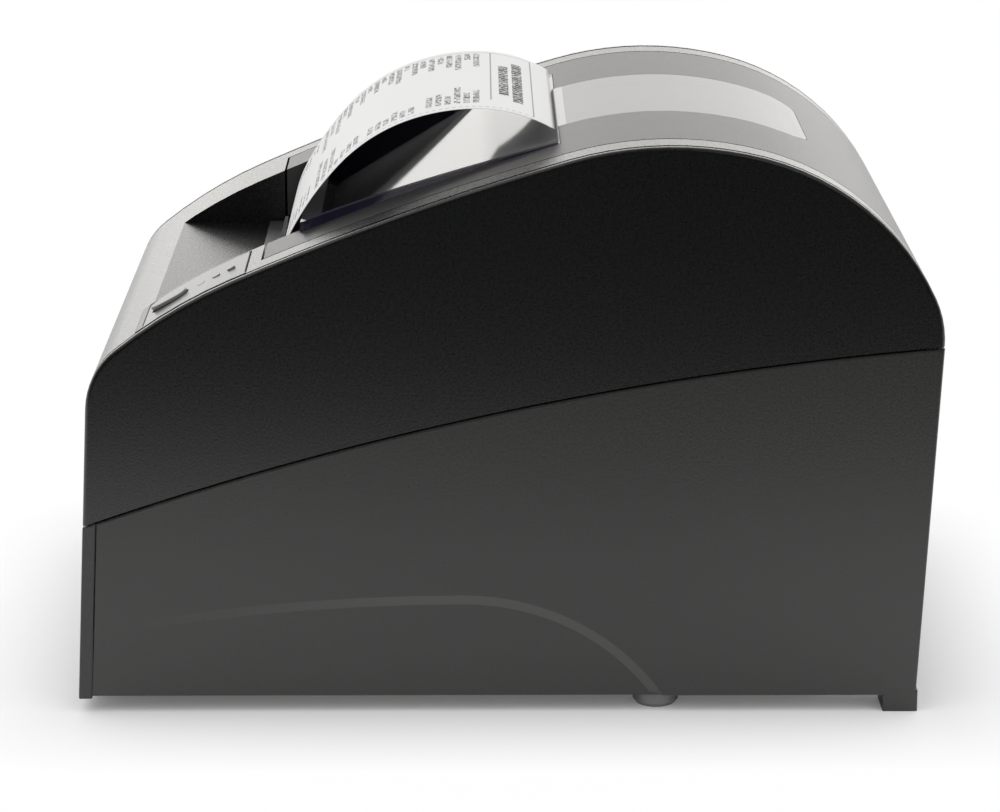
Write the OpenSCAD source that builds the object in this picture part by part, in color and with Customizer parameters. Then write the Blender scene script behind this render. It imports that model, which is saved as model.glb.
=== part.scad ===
// Desktop receipt printer with a hinged clamshell lid.
// X is across the printer, -Y is the front where the paper comes out, and Z is up from the feet.

/* [Casing] */
// Width over the two side walls
case_w = 140; // [138:0.5:146]
// Depth from the foot of the front panel to the back
case_d = 205; // [202:0.5:210]
// Height of the top of the hump above the table
case_h = 137.8; // [136:0.2:142]
// Height of the feet under the floor
foot_h = 4.2; // [3.5:0.1:6]
// Thickness of the moulded walls
wall = 2.4; // [2:0.1:2.8]
// Lean of the front panel
front_lean = 3; // [1:0.5:4]
// Lean of the back wall
back_lean = 2.7; // [1:0.1:4]
// Thickness of the separate front panel
panel_t = 3.2; // [2.5:0.1:4]
// Width of the dark groove between side skin and top
groove_w = 0.7; // [0.5:0.1:1]
// Depth of that groove
groove_d = 1; // [0.6:0.1:1.4]
// Thickness of the side skin outside the groove
skin_w = 2; // [1.5:0.1:2.5]
// Gap along the seam of the two casing halves
seam_gap = 0.5; // [0.3:0.1:0.8]

/* [Side profile] */
// Distance of the hump's crown in front of the back
crown_inset = 64.2; // [62:0.1:66]
// Radius over the crown
crown_r = 86; // [80:1:92]
// Slope where the crown ends towards the front
crown_front_deg = 16; // [15:0.5:17]
// Slope where the crown ends towards the back
crown_back_deg = 14.5; // [13:0.5:16]
// Slope where the long top meets the panel's curve
slope_deg = 23.7; // [22.5:0.1:25]
// Radius of the curve under the control panel
brow_r = 121; // [110:1:130]
// Slope where that curve meets the front corner
brow_deg = 38.8; // [37:0.1:41]
// Radius of the front corner
nose_r = 19; // [16:0.5:22]
// Slope where the back curve tightens
shoulder_deg = 64.7; // [62:0.1:67]
// Radius of the tight lower back corner
heel_r = 24.6; // [22:0.1:27]
// Height of the casing seam at the front
seam_front_z = 45.8; // [44:0.2:48]
// Distance of the casing seam below the hinge axis at the back
seam_back_drop = 9.3; // [8.5:0.1:10]
// Radius of the seam's long arc
seam_r = 800; // [700:10:900]

/* [Lid] */
// Width of the lid
lid_w = 118; // [116:0.5:119]
// Gap round the lid
lid_gap = 0.6; // [0.5:0.05:0.8]
// Distance of the lid's front edge from the front of the case
lid_setback = 45.8; // [45.4:0.1:46.2]
// Depth of the skirt round the lid
skirt_h = 4.6; // [4:0.1:5.2]
// Depth of the hinge axis under the top
hinge_depth = 6.7; // [6.3:0.1:7.1]
// Distance of the hinge axis in front of the back
hinge_inset = 4.7; // [4.4:0.1:5.2]
// Outer radius of the hinge knuckles
knuckle_r = 3; // [2.8:0.1:3.1]
// Radius of the hinge pin
hinge_pin_r = 1.5; // [1.2:0.05:1.7]
// Running clearance of shafts and pins in their holes
run_gap = 0.05; // [0.02:0.01:0.09]
// Depth of the exit recess behind the lid's front edge
exit_d = 3; // [2.6:0.1:3.4]

/* [Window and exit tray] */
// Distance of the tray's outer rim beyond the pocket's side walls
rim_over = 3; // [2.5:0.25:4]
// Width of the tray's rim
rim_w = 2.4; // [2:0.1:3]
// Height of the rim over the lid at the paper exit
rim_h = 2.4; // [1.5:0.1:3]
// Depth of the front lip of the tray
lip_d = 5; // [4:0.1:6]
// Depth of the tray's floor below the lid at its front
tray_dip = 9.5; // [7:0.1:10]
// Where the tray's floor comes up to the lid
tray_end_y = -6; // [-8:0.5:-3]
// Where the rim has sunk into the lid
rim_end_y = 13; // [10:0.5:16]
// Width of the clear band over the roll
band_w = 50; // [44:1:56]
// Where the clear band ends at the back
band_end_y = 74; // [70:0.5:76]
// Corner radius of the clear band
band_r = 8; // [5:0.5:10]
// Thickness of the clear plastic
clear_t = 1.8; // [1.4:0.1:2.2]
// Gap round the clear plastic
clear_gap = 0.15; // [0.1:0.05:0.25]

/* [Finger pocket and control panel] */
// Room on each side of the paper in the finger pocket
pocket_room = 3.25; // [2.75:0.25:4]
// Depth of the pocket's floor under the lid's front edge
pocket_depth = 14.25; // [13.75:0.05:14.75]
// Where the control panel starts behind the front
overlay_start = 16; // [14:0.5:18]
// Length of the control panel
overlay_l = 26; // [24:0.5:28]
// Margin between the finger pocket and the control panel
overlay_in = 1.2; // [0.8:0.1:2]
// Margin between the control panel and the outer side
overlay_out = 3.4; // [3:0.1:5]
// Thickness of the control panel film
overlay_t = 0.6; // [0.4:0.05:0.8]
// Length of the feed button
button_l = 9.6; // [8:0.2:10]
// Width of the feed button
button_w = 6; // [5:0.2:7]
// Travel of the feed button
button_travel = 0.5; // [0.3:0.05:0.6]
// Radius of the indicator lenses
led_r = 1.1; // [0.8:0.1:1.3]

/* [Paper] */
// Width of the paper
paper_w = 79.5; // [79:0.1:80]
// Thickness of the drawn paper
paper_t = 0.25; // [0.2:0.05:0.3]
// Radius of the paper roll
roll_r = 38; // [34:0.5:39]
// Outer radius of the roll's core
core_r = 9; // [8:0.5:10]
// Wall of the roll's core
core_wall = 2; // [1.5:0.1:2.5]
// Depth of the roll's axis under the top of the hump
roll_depth = 61.8; // [61.3:0.1:62.3]
// Height of the receipt's free end over the hump
strip_clear = 2.8; // [2:0.1:5]
// Gap between the receipt and the tray's front lip
strip_lean = 0.85; // [0.6:0.05:1.5]
// Play between the roll and its bucket
bucket_gap = 2.5; // [1.5:0.1:3]
// Wall of the paper bucket
bucket_t = 1.8; // [1.5:0.1:2]
// Gap that keeps moving surfaces apart
air = 0.3; // [0.25:0.01:0.4]

/* [Print mechanism] */
// Radius of the rubber platen roller
platen_r = 5; // [4.8:0.1:5.2]
// Depth of the platen's axis under the lid's front edge
platen_depth = 22.25; // [22.05:0.05:22.45]
// Height of the mechanism from its base to the platen's axis
mech_h = 49; // [47:0.5:51]
// Distance of the platen's axis behind the lid's front edge
platen_back = 7.3; // [7.2:0.05:7.4]
// Radius of the platen shaft
shaft_r = 2; // [1.8:0.05:2.2]
// Radius of the bushes on the shaft
bush_r = 3.6; // [3.4:0.05:3.8]
// Gear module
gear_m = 0.6; // [0.58:0.01:0.62]
// Teeth of the platen gear
platen_teeth = 20; // [20:1:20]
// Teeth of the idler gear
idler_teeth = 32; // [30:1:33]
// Teeth of the motor pinion
pinion_teeth = 12; // [12:1:13]
// Angle of the gear train under the paper's path
train_under = 45.9; // [45:0.1:47]
// Width of the gears
gear_w = 4; // [3.4:0.1:4.2]
// Radius of the stepping motor
motor_r = 10.5; // [9.5:0.1:11]
// Length of the stepping motor
motor_l = 14; // [12:0.5:16]
// Thickness of the mechanism's side plates
plate_t = 2; // [1.8:0.1:2.2]
// Swing of the sprung print head
head_swing = 3; // [2:0.5:4]
// Pitch of the tear bar's teeth
tooth_pitch = 1.5; // [1.2:0.1:2]

/* [Board and sockets] */
// Thickness of the main board
board_t = 1.6; // [1.2:0.1:2]
// Height of the main board over the floor
board_up = 6; // [5:0.5:7]
// Depth of the cable bay in the back
bay_d = 22; // [20:0.5:23]
// Width of the cable bay
bay_w = 108; // [106:1:110]
// Height of the cable bay
bay_h = 42; // [38:1:43]
// Distance of the two serial jackscrews
jack_pitch = 24.99; // [24.9:0.01:25.1]
// Radius of the thread in a jackscrew
jack_r = 1.42; // [1.2:0.02:1.5]
// Radius of the round feet
foot_r = 5.5; // [4.5:0.1:5.6]

/* [Hidden] */
$fn = 48;
far = 200;                              // further than any face of the case
half_w = case_w / 2;
front_y = -case_d / 2;
back_y = case_d / 2;
floor_z = foot_h + wall;                // top of the case floor

// --- side profile: tangent arcs from the front corner to the lower back corner ---
function dir(a) = [cos(a), sin(a)];
function dot(u, v) = u[0] * v[0] + u[1] * v[1];
nose_dir = dir(180 - front_lean);
brow_dir = dir(90 + brow_deg);
slope_dir = dir(90 + slope_deg);
crown_dir = dir(90 + crown_front_deg);
crown_y = back_y - crown_inset;
crown_c = [crown_y, case_h - crown_r];
slope_r = (-front_y * cos(front_lean) - dot(crown_c, nose_dir) - crown_r * dot(crown_dir, nose_dir)
    + brow_r * dot(slope_dir, nose_dir) - (brow_r - nose_r) * dot(brow_dir, nose_dir) - nose_r)
    / dot(slope_dir - crown_dir, nose_dir);
slope_c = crown_c + (crown_r - slope_r) * crown_dir;
brow_c = slope_c + (slope_r - brow_r) * slope_dir;
nose_c = brow_c + (brow_r - nose_r) * brow_dir;
back_dir = dir(90 - crown_back_deg);
shoulder_dir = dir(90 - shoulder_deg);
shoulder_r = (back_y - crown_y - crown_r * back_dir[0] + heel_r * shoulder_dir[0] - heel_r)
    / (shoulder_dir[0] - back_dir[0]);
shoulder_c = crown_c + (crown_r - shoulder_r) * back_dir;
heel_c = shoulder_c + (shoulder_r - heel_r) * shoulder_dir;
// each arc: centre, radius, angle at its front end, angle at its back end, number of steps
ARCS = [[nose_c, nose_r, 180 - front_lean, 90 + brow_deg, 8], [brow_c, brow_r, 90 + brow_deg, 90 + slope_deg, 5],
    [slope_c, slope_r, 90 + slope_deg, 90 + crown_front_deg, 10],
    [crown_c, crown_r, 90 + crown_front_deg, 90 - crown_back_deg, 10],
    [shoulder_c, shoulder_r, 90 - crown_back_deg, 90 - shoulder_deg, 12],
    [heel_c, heel_r, 90 - shoulder_deg, -back_lean, 5]];
function arc_end(i, a, d) = ARCS[i][0] + (ARCS[i][1] - d) * dir(ARCS[i][a]);
function top_points(d) = [for (i = [0:5]) for (k = [0:ARCS[i][4]])
    if (i == 5 || k < ARCS[i][4])
        ARCS[i][0] + (ARCS[i][1] - d) * dir(ARCS[i][2] + (ARCS[i][3] - ARCS[i][2]) * k / ARCS[i][4])];
// outline of the case, d inside its outer face, cut off flat at height z
function outline_points(d, z) = let (f = arc_end(0, 2, d), b = arc_end(5, 3, d))
    concat([[f[0] - (f[1] - z) * tan(front_lean), z]], top_points(d), [[b[0] - (b[1] - z) * tan(back_lean), z]]);
module outline(d = 0, z = foot_h) { polygon(outline_points(d, z)); }
// height of the top, d inside its outer face, and slope there, at distance y from the middle
function arc_at(y) = y < arc_end(0, 3, 0)[0] ? 0 : y < arc_end(1, 3, 0)[0] ? 1 : y < arc_end(2, 3, 0)[0] ? 2 :
    y < arc_end(3, 3, 0)[0] ? 3 : y < arc_end(4, 3, 0)[0] ? 4 : 5;
function top_z(y, d = 0) = let (a = ARCS[arc_at(y)])
    a[0][1] + sqrt((a[1] - d) * (a[1] - d) - (y - a[0][0]) * (y - a[0][0]));
function top_slope(y) = let (a = ARCS[arc_at(y)]) asin((a[0][0] - y) / a[1]);
// --- places that hang under the top ---
lid_y = front_y + lid_setback;          // front edge of the lid
hinge_y = back_y - hinge_inset;
hinge_z = top_z(hinge_y) - hinge_depth;
pocket_z = top_z(lid_y) - pocket_depth;
platen_z = top_z(lid_y) - platen_depth;
roll_z = case_h - roll_depth;
seam_back_z = hinge_z - seam_back_drop;
mech_z = platen_z - mech_h;
// strip of the top between depths d0 and d1, from y0 to y1
module top_band(d0, d1, y0, y1) {
    intersection() {
        difference() { outline(d0); outline(d1, foot_h - 1); }
        translate([y0, platen_z - 7]) square([y1 - y0, far]);
    }
}
// extrudes a side view across the printer, from x0 to x1
module across(x0, x1) { translate([x0, 0, 0]) rotate([90, 0, 90]) linear_extrude(x1 - x0) children(); }
module both_sides() { children(); mirror([1, 0, 0]) children(); }
// cylinders lying across the printer and along it
module rod_x(x0, x1, y, z, r) { translate([x0, y, z]) rotate([0, 90, 0]) cylinder(r = r, h = x1 - x0); }
module rod_y(y0, y1, x, z, r) { translate([x, y0, z]) rotate([-90, 0, 0]) cylinder(r = r, h = y1 - y0); }
module block(x, y, z) { translate([x[0], y[0], z[0]]) cube([x[1] - x[0], y[1] - y[0], z[1] - z[0]]); }
// a stretch between two offsets from a middle, and a block round a middle
function span(c, a, b) = [c + a, c + b];
module bar(w, y, z) { block([-w / 2, w / 2], y, z); }

// --- seam between the casing halves: one long arc ---
seam_mid = [(front_y + back_y) / 2, (seam_front_z + seam_back_z) / 2];
seam_half = norm([case_d, seam_back_z - seam_front_z]) / 2;
seam_up = [-(seam_back_z - seam_front_z), case_d] / (2 * seam_half);
seam_c = seam_mid - sqrt(seam_r * seam_r - seam_half * seam_half) * seam_up;
function seam_z(y) = seam_c[1] + sqrt(seam_r * seam_r - (y - seam_c[0]) * (y - seam_c[0]));
SEAM_STEPS = 30;
seam_reach = case_d / 2 + 10;
function seam_points(dz) = [for (k = [0:SEAM_STEPS]) let (y = -seam_reach + 2 * seam_reach * k / SEAM_STEPS)
    [y, seam_z(y) + dz]];
module above_seam(dz) { polygon(concat(seam_points(dz), [[seam_reach, far], [-seam_reach, far]])); }
module below_seam(dz) { polygon(concat(seam_points(dz), [[seam_reach, -far], [-seam_reach, -far]])); }

// --- places that several parts share ---
exit_y = lid_y + exit_d;                // front face of the lid between its cheeks
tray_y = exit_y + 5;                    // front of the raised tray
platen_y = lid_y + platen_back;
paper_y = platen_y - platen_r - air - paper_t / 2;
head_y = paper_y - paper_t / 2 - 0.85;  // face of the print head
roll_y = crown_y;
side_x = paper_w / 2 + pocket_room;     // wall of the pocket, and inner face of the mechanism's plates
plate_x = side_x + plate_t;
gear_x = plate_x + 1;                   // gears run outside the left plate
// tangent that the paper follows from the roll to the platen
web_in = platen_r + air;                 // inner radius of the paper round the platen
web_roll = roll_r + air;
web_span = [roll_y - platen_y, roll_z - platen_z];
web_a = atan2(web_span[1], web_span[0]) - acos((web_in - web_roll) / norm(web_span));
web_n = dir(web_a);
web_p = [platen_y, platen_z] + web_in * web_n;
web_q = [roll_y, roll_z] + web_roll * web_n;
web_dir = (web_q - web_p) / norm(web_q - web_p);
train_deg = web_a + 90 - train_under;    // direction of the gear train down from the platen
idler_c = [platen_y, platen_z] + (gear_m * (platen_teeth + idler_teeth) / 2 + 0.12) * dir(train_deg);
pinion_c = idler_c + (gear_m * (idler_teeth + pinion_teeth) / 2 + 0.12) * dir(train_deg);
pivot_c = [head_y - 2.4, platen_z - 12];
pivot_r = 1.5;
mech_front = head_y - 10.4;
mech_back = platen_y + 15;
mech_top = pocket_z - wall - 0.4;
screw_r = 1.4;
head_r = 2.8;
post_r = 3.6;
lip_t = 1.3;                             // lip inside the casing seam
post_h = 16;                             // posts of the upper case, above the seam
bay_y = back_y - bay_d;
bay_z = foot_h + bay_h;
board_z = floor_z + board_up;
board_top = board_z + board_t;
board_y = [mech_back + 6, bay_y - wall - 2];
case_post_x = half_w - wall - lip_t - head_r;
CASE_POSTS = [[case_post_x, front_y + 18.5], [case_post_x, back_y - 20.5]];
BUCKET_POSTS = [[side_x + 7.5, roll_y - 32], [side_x + 7.5, roll_y + 32]];
bucket_post_z = roll_z - 14;
board_w = 2 * (BUCKET_POSTS[0][0] - post_r - 0.9);
MECH_POSTS = [[side_x - 5, mech_front + 7], [side_x - 5, mech_back - 4]];
BOARD_POSTS = [[board_w / 2 - 5, board_y[0] + 5], [board_w / 2 - 5, board_y[1] - 18]];
FEET = [[half_w - 8, roll_y - 2], [half_w - 20, front_y + 20]];
module at_each(places) { both_sides() for (p = places) translate([p[0], p[1], 0]) children(); }

// --- lower case ---
ARCH_TOP = [front_y + 92.5, foot_h + 25.4];    // highest point of the raised arch on the side
arch_r = 57.7;
arch_long_r = 485;
arch_depth = 0.5;
arch_start_y = front_y - 5;
// the flat area under the arch
module arch_area() {
    long = asin((ARCH_TOP[0] - arch_start_y) / arch_long_r);
    short = acos((arch_r - ARCH_TOP[1] + foot_h - 1) / arch_r);
    polygon(concat([[arch_start_y, foot_h - 1]],
        [for (k = [0:8]) ARCH_TOP + arch_long_r * (dir(90 + long * (8 - k) / 8) - [0, 1])],
        [for (k = [1:14]) ARCH_TOP + arch_r * (dir(90 - short * k / 14) - [0, 1])]));
}
lug = [60, 10];                         // inner face and depth of the rear corner feet
module lower_case() color([0.2, 0.2, 0.2]) difference() {
    union() {
        difference() {
            across(-half_w, half_w) difference() {
                intersection() { outline(0); below_seam(-seam_gap / 2); }
                // room for the front panel
                difference() { translate([front_y - 1, 0]) square([20, far]); outline(panel_t, foot_h - 1); }
            }
            across(-half_w + wall, half_w - wall) intersection() {
                outline(wall, floor_z);
                translate([front_y + panel_t + wall + 3, 0]) square([case_d, far]);
            }
            // cable bay, open to the back and below
            block([-bay_w / 2, bay_w / 2], [bay_y, back_y + 1], [0, bay_z]);
        }
        // inner walls round the cable bay
        block([-bay_w / 2 - wall, bay_w / 2 + wall], [bay_y - wall, bay_y], [foot_h, bay_z + wall]);
        across(-bay_w / 2 - wall, bay_w / 2 + wall) intersection() {
            outline(1);
            translate([bay_y - 1, bay_z]) square([bay_d + 1, wall]);
        }
        both_sides() across(bay_w / 2, bay_w / 2 + wall) intersection() {
            outline(1);
            translate([bay_y - 1, foot_h]) square([bay_d + 1, bay_h + wall]);
        }
        // rear corner feet, level with the rubber feet
        both_sides() block([lug[0], half_w], [back_y - 12, back_y - 3.6], [0, foot_h + 1]);
        // screw towers, mechanism posts, bucket posts and board posts
        both_sides() for (p = CASE_POSTS)
            translate([p[0], p[1], foot_h]) cylinder(r = 4.4, h = seam_z(p[1]) - 4 - foot_h);
        at_each(MECH_POSTS) translate([0, 0, foot_h]) cylinder(r = post_r, h = mech_z - foot_h);
        at_each(BUCKET_POSTS) translate([0, 0, foot_h]) cylinder(r = post_r, h = bucket_post_z - foot_h);
        at_each(BOARD_POSTS) translate([0, 0, foot_h]) cylinder(r = post_r, h = board_z - foot_h);
        // lip that closes the seam from inside
        both_sides() across(half_w - wall - lip_t, half_w - wall) intersection() {
            outline(wall + 1);
            difference() { below_seam(3); below_seam(-4); }
            translate([front_y + 12, 0]) square([case_d - 24, far]);
        }
    }
    // screw wells from below and pilot holes from above
    both_sides() for (p = CASE_POSTS) {
        translate([p[0], p[1], -1]) cylinder(r = head_r + 0.4, h = seam_z(p[1]) - 8 + 1);
        translate([p[0], p[1], -1]) cylinder(r = screw_r + 0.2, h = far);
    }
    at_each(MECH_POSTS) translate([0, 0, mech_z - 8]) cylinder(r = screw_r, h = far);
    at_each(BUCKET_POSTS) translate([0, 0, bucket_post_z - 8]) cylinder(r = screw_r, h = far);
    at_each(BOARD_POSTS) translate([0, 0, board_z - 5]) cylinder(r = screw_r, h = far);
    // seats of the rubber feet
    at_each(FEET) translate([0, 0, foot_h - 1]) cylinder(r = foot_r + 0.1, h = 1.6);
    // recess under the arch on both sides
    both_sides() across(half_w - arch_depth, half_w + 1) arch_area();
    // openings for the sockets
    block(POWER_X, [bay_y - 5, bay_y + 1], SOCKET_Z + [0, 11.2]);
    block(USB_X, [bay_y - 5, bay_y + 1], SOCKET_Z + [0, 11.2]);
    block(DRAWER_X, [bay_y - 5, bay_y + 1], SOCKET_Z + [0, 12.2]);
    block([serial_x - 9.6, serial_x + 9.6], [bay_y - 5, bay_y + 1], [board_top + 0.9, board_top + 11.7]);
    for (s = [-1, 1]) rod_y(bay_y - 5, bay_y + 1, serial_x + s * jack_pitch / 2, serial_z, 1.7);
    // opening for the power switch in the left wall
    block([-half_w - 1, -half_w + wall + 1], span(switch_y, -6.6, 6.6), span(switch_z, -9.6, 9.6));
    // air slots in the floor
    for (k = [-3:3]) bar(60, [k * 7 - 21.5, k * 7 - 18.5], [0, floor_z + 1]);
}

// --- front panel: a plate over the lower front ---
module front_panel() color([0.16, 0.16, 0.17]) {
    across(-half_w, half_w) intersection() {
        difference() { outline(0, foot_h - 0.6); outline(panel_t, foot_h - 2); }
        translate([front_y - 1, 0]) square([20, far]);
        below_seam(-seam_gap / 2);
    }
}

// --- upper case ---
rear_strip_z = hinge_z - knuckle_r - 0.4;      // top edge of the strip under the hinge
KNUCKLES = [[16, 34], [51, 58.6]];            // stretches of the hinge axis held by the case
lid_hole = lid_w / 2 + lid_gap;
ledge_d = skirt_h + 0.6;
module pocket_block(w, z) {
    across(-w, w) intersection() {
        outline(0);
        translate([front_y, z]) square([lid_y - lid_gap - front_y, far]);
    }
}
module upper_case() color([0.07, 0.07, 0.075]) difference() {
    union() {
        difference() {
            across(-half_w, half_w) intersection() { outline(0); above_seam(seam_gap / 2); }
            across(-half_w + wall, half_w - wall) outline(wall, foot_h - 1);
            // mouth for the lid
            across(-lid_hole, lid_hole) polygon([[lid_y - lid_gap, mech_z], [lid_y - lid_gap, far],
                [back_y + 5, far], [back_y + 5, rear_strip_z], [bay_y, rear_strip_z], [bay_y, mech_z]]);
        }
        // inner walls along the lid, with the ledge its skirt stands over
        both_sides() across(lid_hole, lid_hole + 2) intersection() {
            difference() { outline(1); outline(16, foot_h - 1); }
            above_seam(1);
            translate([lid_y - lid_gap, 0]) square([hinge_y - 8 - lid_y, far]);
        }
        both_sides() across(lid_hole - 4, lid_hole + 1) intersection() {
            difference() { outline(ledge_d); outline(ledge_d + 2, foot_h - 1); }
            translate([carrier_end + 3, 0]) square([hinge_y - 8 - carrier_end - 3, far]);
        }
        // wall behind the front cheeks
        both_sides() across(side_x, lid_hole + 2) intersection() {
            outline(1);
            translate([lid_y - lid_gap - wall, pocket_z + 2]) square([wall, far]);
        }
        // finger pocket shell
        pocket_block(side_x + wall, pocket_z - wall);
        // posts that the case screws pull on, each ribbed to the side wall
        both_sides() for (p = CASE_POSTS) translate([p[0], p[1], seam_z(p[1])]) {
            translate([0, 0, -4]) cylinder(r = head_r - 0.2, h = post_h + 4);
            block([0, half_w - wall + 0.5 - p[0]], [-0.8, 0.8], [3.6, post_h]);
        }
        // ears of the lid hinge
        both_sides() for (k = KNUCKLES) {
            rod_x(k[0], k[1], hinge_y, hinge_z, knuckle_r);
            block(k, [hinge_y - knuckle_r, hinge_y + 1.4], [rear_strip_z - 3, hinge_z]);
            block(k, [hinge_y - knuckle_r, back_y - wall / 2], [seam_z(back_y) + 1.5, rear_strip_z]);
        }
        both_sides() block([KNUCKLES[1][0], half_w - 1], [hinge_y - knuckle_r, hinge_y - 1],
            [seam_z(back_y) + 1.5, rear_strip_z]);
        // mounts of the small panel board
        for (p = PANEL_POSTS) panel_frame() translate([p[0], p[1], -panel_board_d]) {
            cylinder(r = 1.8, h = panel_board_d - 1);
            translate([0, 0, -1.8]) cylinder(r = pin_r, h = 3);
        }
    }
    // pocket
    across(-side_x, side_x) translate([front_y - 1, pocket_z]) square([lid_y - front_y + 2, far]);
    // dark groove round both sides
    both_sides() across(half_w - skin_w - groove_w, half_w - skin_w) difference() {
        outline(-1);
        outline(groove_d, foot_h - 1);
    }
    // hinge bore and screw pilots
    rod_x(-KNUCKLES[1][1], KNUCKLES[1][1], hinge_y, hinge_z, hinge_pin_r);
    both_sides() for (p = CASE_POSTS)
        translate([p[0], p[1], seam_z(p[1]) - 5]) cylinder(r = screw_r, h = 13);
    // seat of the control panel, with ways through for the button and the lights
    across(overlay_x[0] - 0.15, overlay_x[1] + 0.15)
        top_band(-1, overlay_t, overlay_y[0] - 0.15, overlay_y[1] + 0.15);
    panel_frame() translate([button_at[0], button_at[1], -6]) oval(button_l - 1.2 + 2 * air, button_w - 1.2 + 2 * air, 12);
    panel_frame() for (p = LEDS) translate([p[0], p[1], -6]) cylinder(r = led_r + 0.1, h = 12);
}

// --- control panel on the right front cheek ---
overlay_y = [front_y + overlay_start, front_y + overlay_start + overlay_l];
overlay_x = [side_x + overlay_in, half_w - overlay_out];
panel_mid = [(overlay_x[0] + overlay_x[1]) / 2, (overlay_y[0] + overlay_y[1]) / 2];
// frame lying on the sloping panel: x across, y up the slope, z out of the surface
module panel_frame() {
    translate([panel_mid[0], panel_mid[1], top_z(panel_mid[1])]) rotate([top_slope(panel_mid[1]), 0, 0]) children();
}
module oval(l, w, h) {
    // w across the panel, l up the slope
    translate([0, -(l - w) / 2, 0]) cylinder(d = w, h = h);
    translate([0, (l - w) / 2, 0]) cylinder(d = w, h = h);
    translate([-w / 2, -(l - w) / 2, 0]) cube([w, l - w, h]);
}
button_at = [0, -6.5];
LEDS = [for (k = [-1:1]) [0, 6 + 4 * k]];
panel_board_d = 7.6;                     // depth of the small board under the surface
panel_board_x = [side_x + wall + air - panel_mid[0], half_w - wall - 0.6 - panel_mid[0]];
PANEL_POSTS = [[panel_board_x[0] + 2.2, 0], [panel_board_x[1] - 2.2, 0]];
pin_r = 1;                               // heat-staked pins that hold the small board
module control_overlay() color([0.45, 0.47, 0.5]) difference() {
    across(overlay_x[0], overlay_x[1]) top_band(-0.1, overlay_t, overlay_y[0], overlay_y[1]);
    panel_frame() translate([button_at[0], button_at[1], -3]) oval(button_l + 2 * air, button_w + 2 * air, 6);
    panel_frame() for (p = LEDS) translate([p[0], p[1], -3]) cylinder(r = led_r, h = 6);
}
module feed_button() color([0.4, 0.42, 0.45]) panel_frame() translate([button_at[0], button_at[1], 0]) {
    translate([0, 0, -overlay_t + 0.55]) oval(button_l, button_w, 0.9);
    translate([0, 0, -4.4]) oval(button_l - 1.2, button_w - 1.2, 4.6);
}
module led_lenses() color([0.3, 0.75, 0.35]) panel_frame() for (p = LEDS) translate([p[0], p[1], -panel_board_d]) {
    cylinder(r = led_r - 0.1, h = panel_board_d + 0.1);
}
module panel_board() color([0.1, 0.35, 0.2]) panel_frame() difference() {
    translate([panel_board_x[0], -11.5, -panel_board_d - 1.2])
        cube([panel_board_x[1] - panel_board_x[0], 21, 1.2]);
    for (p = PANEL_POSTS) translate([p[0], p[1], -panel_board_d - 2]) cylinder(r = pin_r + 0.1, h = 3);
}
module tact_switch() color([0.15, 0.15, 0.15]) panel_frame() translate([button_at[0], button_at[1], -panel_board_d]) {
    translate([-3, -3, 0]) cube([6, 6, 1.8]);
    cylinder(r = 1.6, h = panel_board_d - 4.4 - button_travel - 0.15);
}

// --- lid ---
lid_rear_y = hinge_y + 0.2;
LID_KNUCKLES = [[0, KNUCKLES[0][0] - lid_gap], [KNUCKLES[0][1] + lid_gap, KNUCKLES[1][0] - lid_gap]];
rim_x = side_x + rim_over;
clear_hole = rim_x + clear_gap;
band_hole = band_w / 2 + clear_gap;
// rounded plan of the clear band, g larger all round
module band_plan(g) {
    w = band_w / 2 + g;
    e = band_end_y + g;
    r = band_r + g;
    translate([-w, 0]) square([2 * w, e - r]);
    translate([-w + r, 0]) square([2 * (w - r), e]);
    for (s = [-1, 1]) translate([s * (w - r), e - r]) circle(r = r);
}
module lid_cover() color([0.13, 0.13, 0.135]) difference() {
    union() {
        // skin, and skirt down both sides
        across(-lid_w / 2, lid_w / 2) top_band(0, wall, lid_y, lid_rear_y);
        both_sides() across(lid_w / 2 - 2.2, lid_w / 2) top_band(0, skirt_h, lid_y, hinge_y - 12);
        // front wall of the cheeks, and the bar between them under the tray
        both_sides() across(side_x, lid_w / 2) intersection() {
            outline(1);
            translate([lid_y, pocket_z + 2]) square([wall, far]);
        }
        both_sides() across(side_x, side_x + wall) intersection() {
            outline(1);
            translate([lid_y, pocket_z + 2]) square([tray_y - lid_y + 8, far]);
        }
        bar(2 * side_x + 2, [exit_y, tray_y + 3], [pocket_z + 1, bar_top]);
        both_sides() block([side_x, gear_x - 0.2], [exit_y, tray_y + 8], [pocket_z + 2, bar_top]);
        // ribs down to the hinge knuckles
        both_sides() for (k = LID_KNUCKLES) {
            rod_x(k[0], k[1], hinge_y, hinge_z, knuckle_r);
            across(k[0], k[1]) intersection() {
                outline(1);
                polygon([[hinge_y - 9, hinge_z + 6], [hinge_y - 9, far], [hinge_y + 1, far], [hinge_y + 1, hinge_z],
                    [hinge_y - knuckle_r, hinge_z]]);
            }
        }
    }
    // recess in front of the tray where the paper comes out
    across(-side_x, side_x) translate([lid_y - 1, 0]) square([exit_y - lid_y + 1, far]);
    across(-side_x, side_x) translate([lid_y - 1, bar_top]) square([tray_y - lid_y + 1, far]);
    // openings for tray and clear band
    across(-clear_hole, clear_hole) translate([tray_y - clear_gap, bar_top])
        square([rim_end_y + clear_gap - tray_y + clear_gap, far]);
    intersection() {
        linear_extrude(far) band_plan(clear_gap);
        across(-half_w, half_w) translate([rim_end_y - 1, platen_z]) square([case_d, far]);
    }
    rod_x(-half_w, half_w, hinge_y, hinge_z, hinge_pin_r + run_gap);
    // notches round the case's own knuckles
    both_sides() for (k = KNUCKLES) rod_x(k[0] - lid_gap, k[1] + lid_gap, hinge_y, hinge_z, knuckle_r + lid_gap);
    // screw holes for the platen carrier
    for (x = CARRIER_XS, y = CARRIER_YS) translate([x, y, 0]) cylinder(r = screw_r, h = top_z(y) - 1.2);
}

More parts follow.
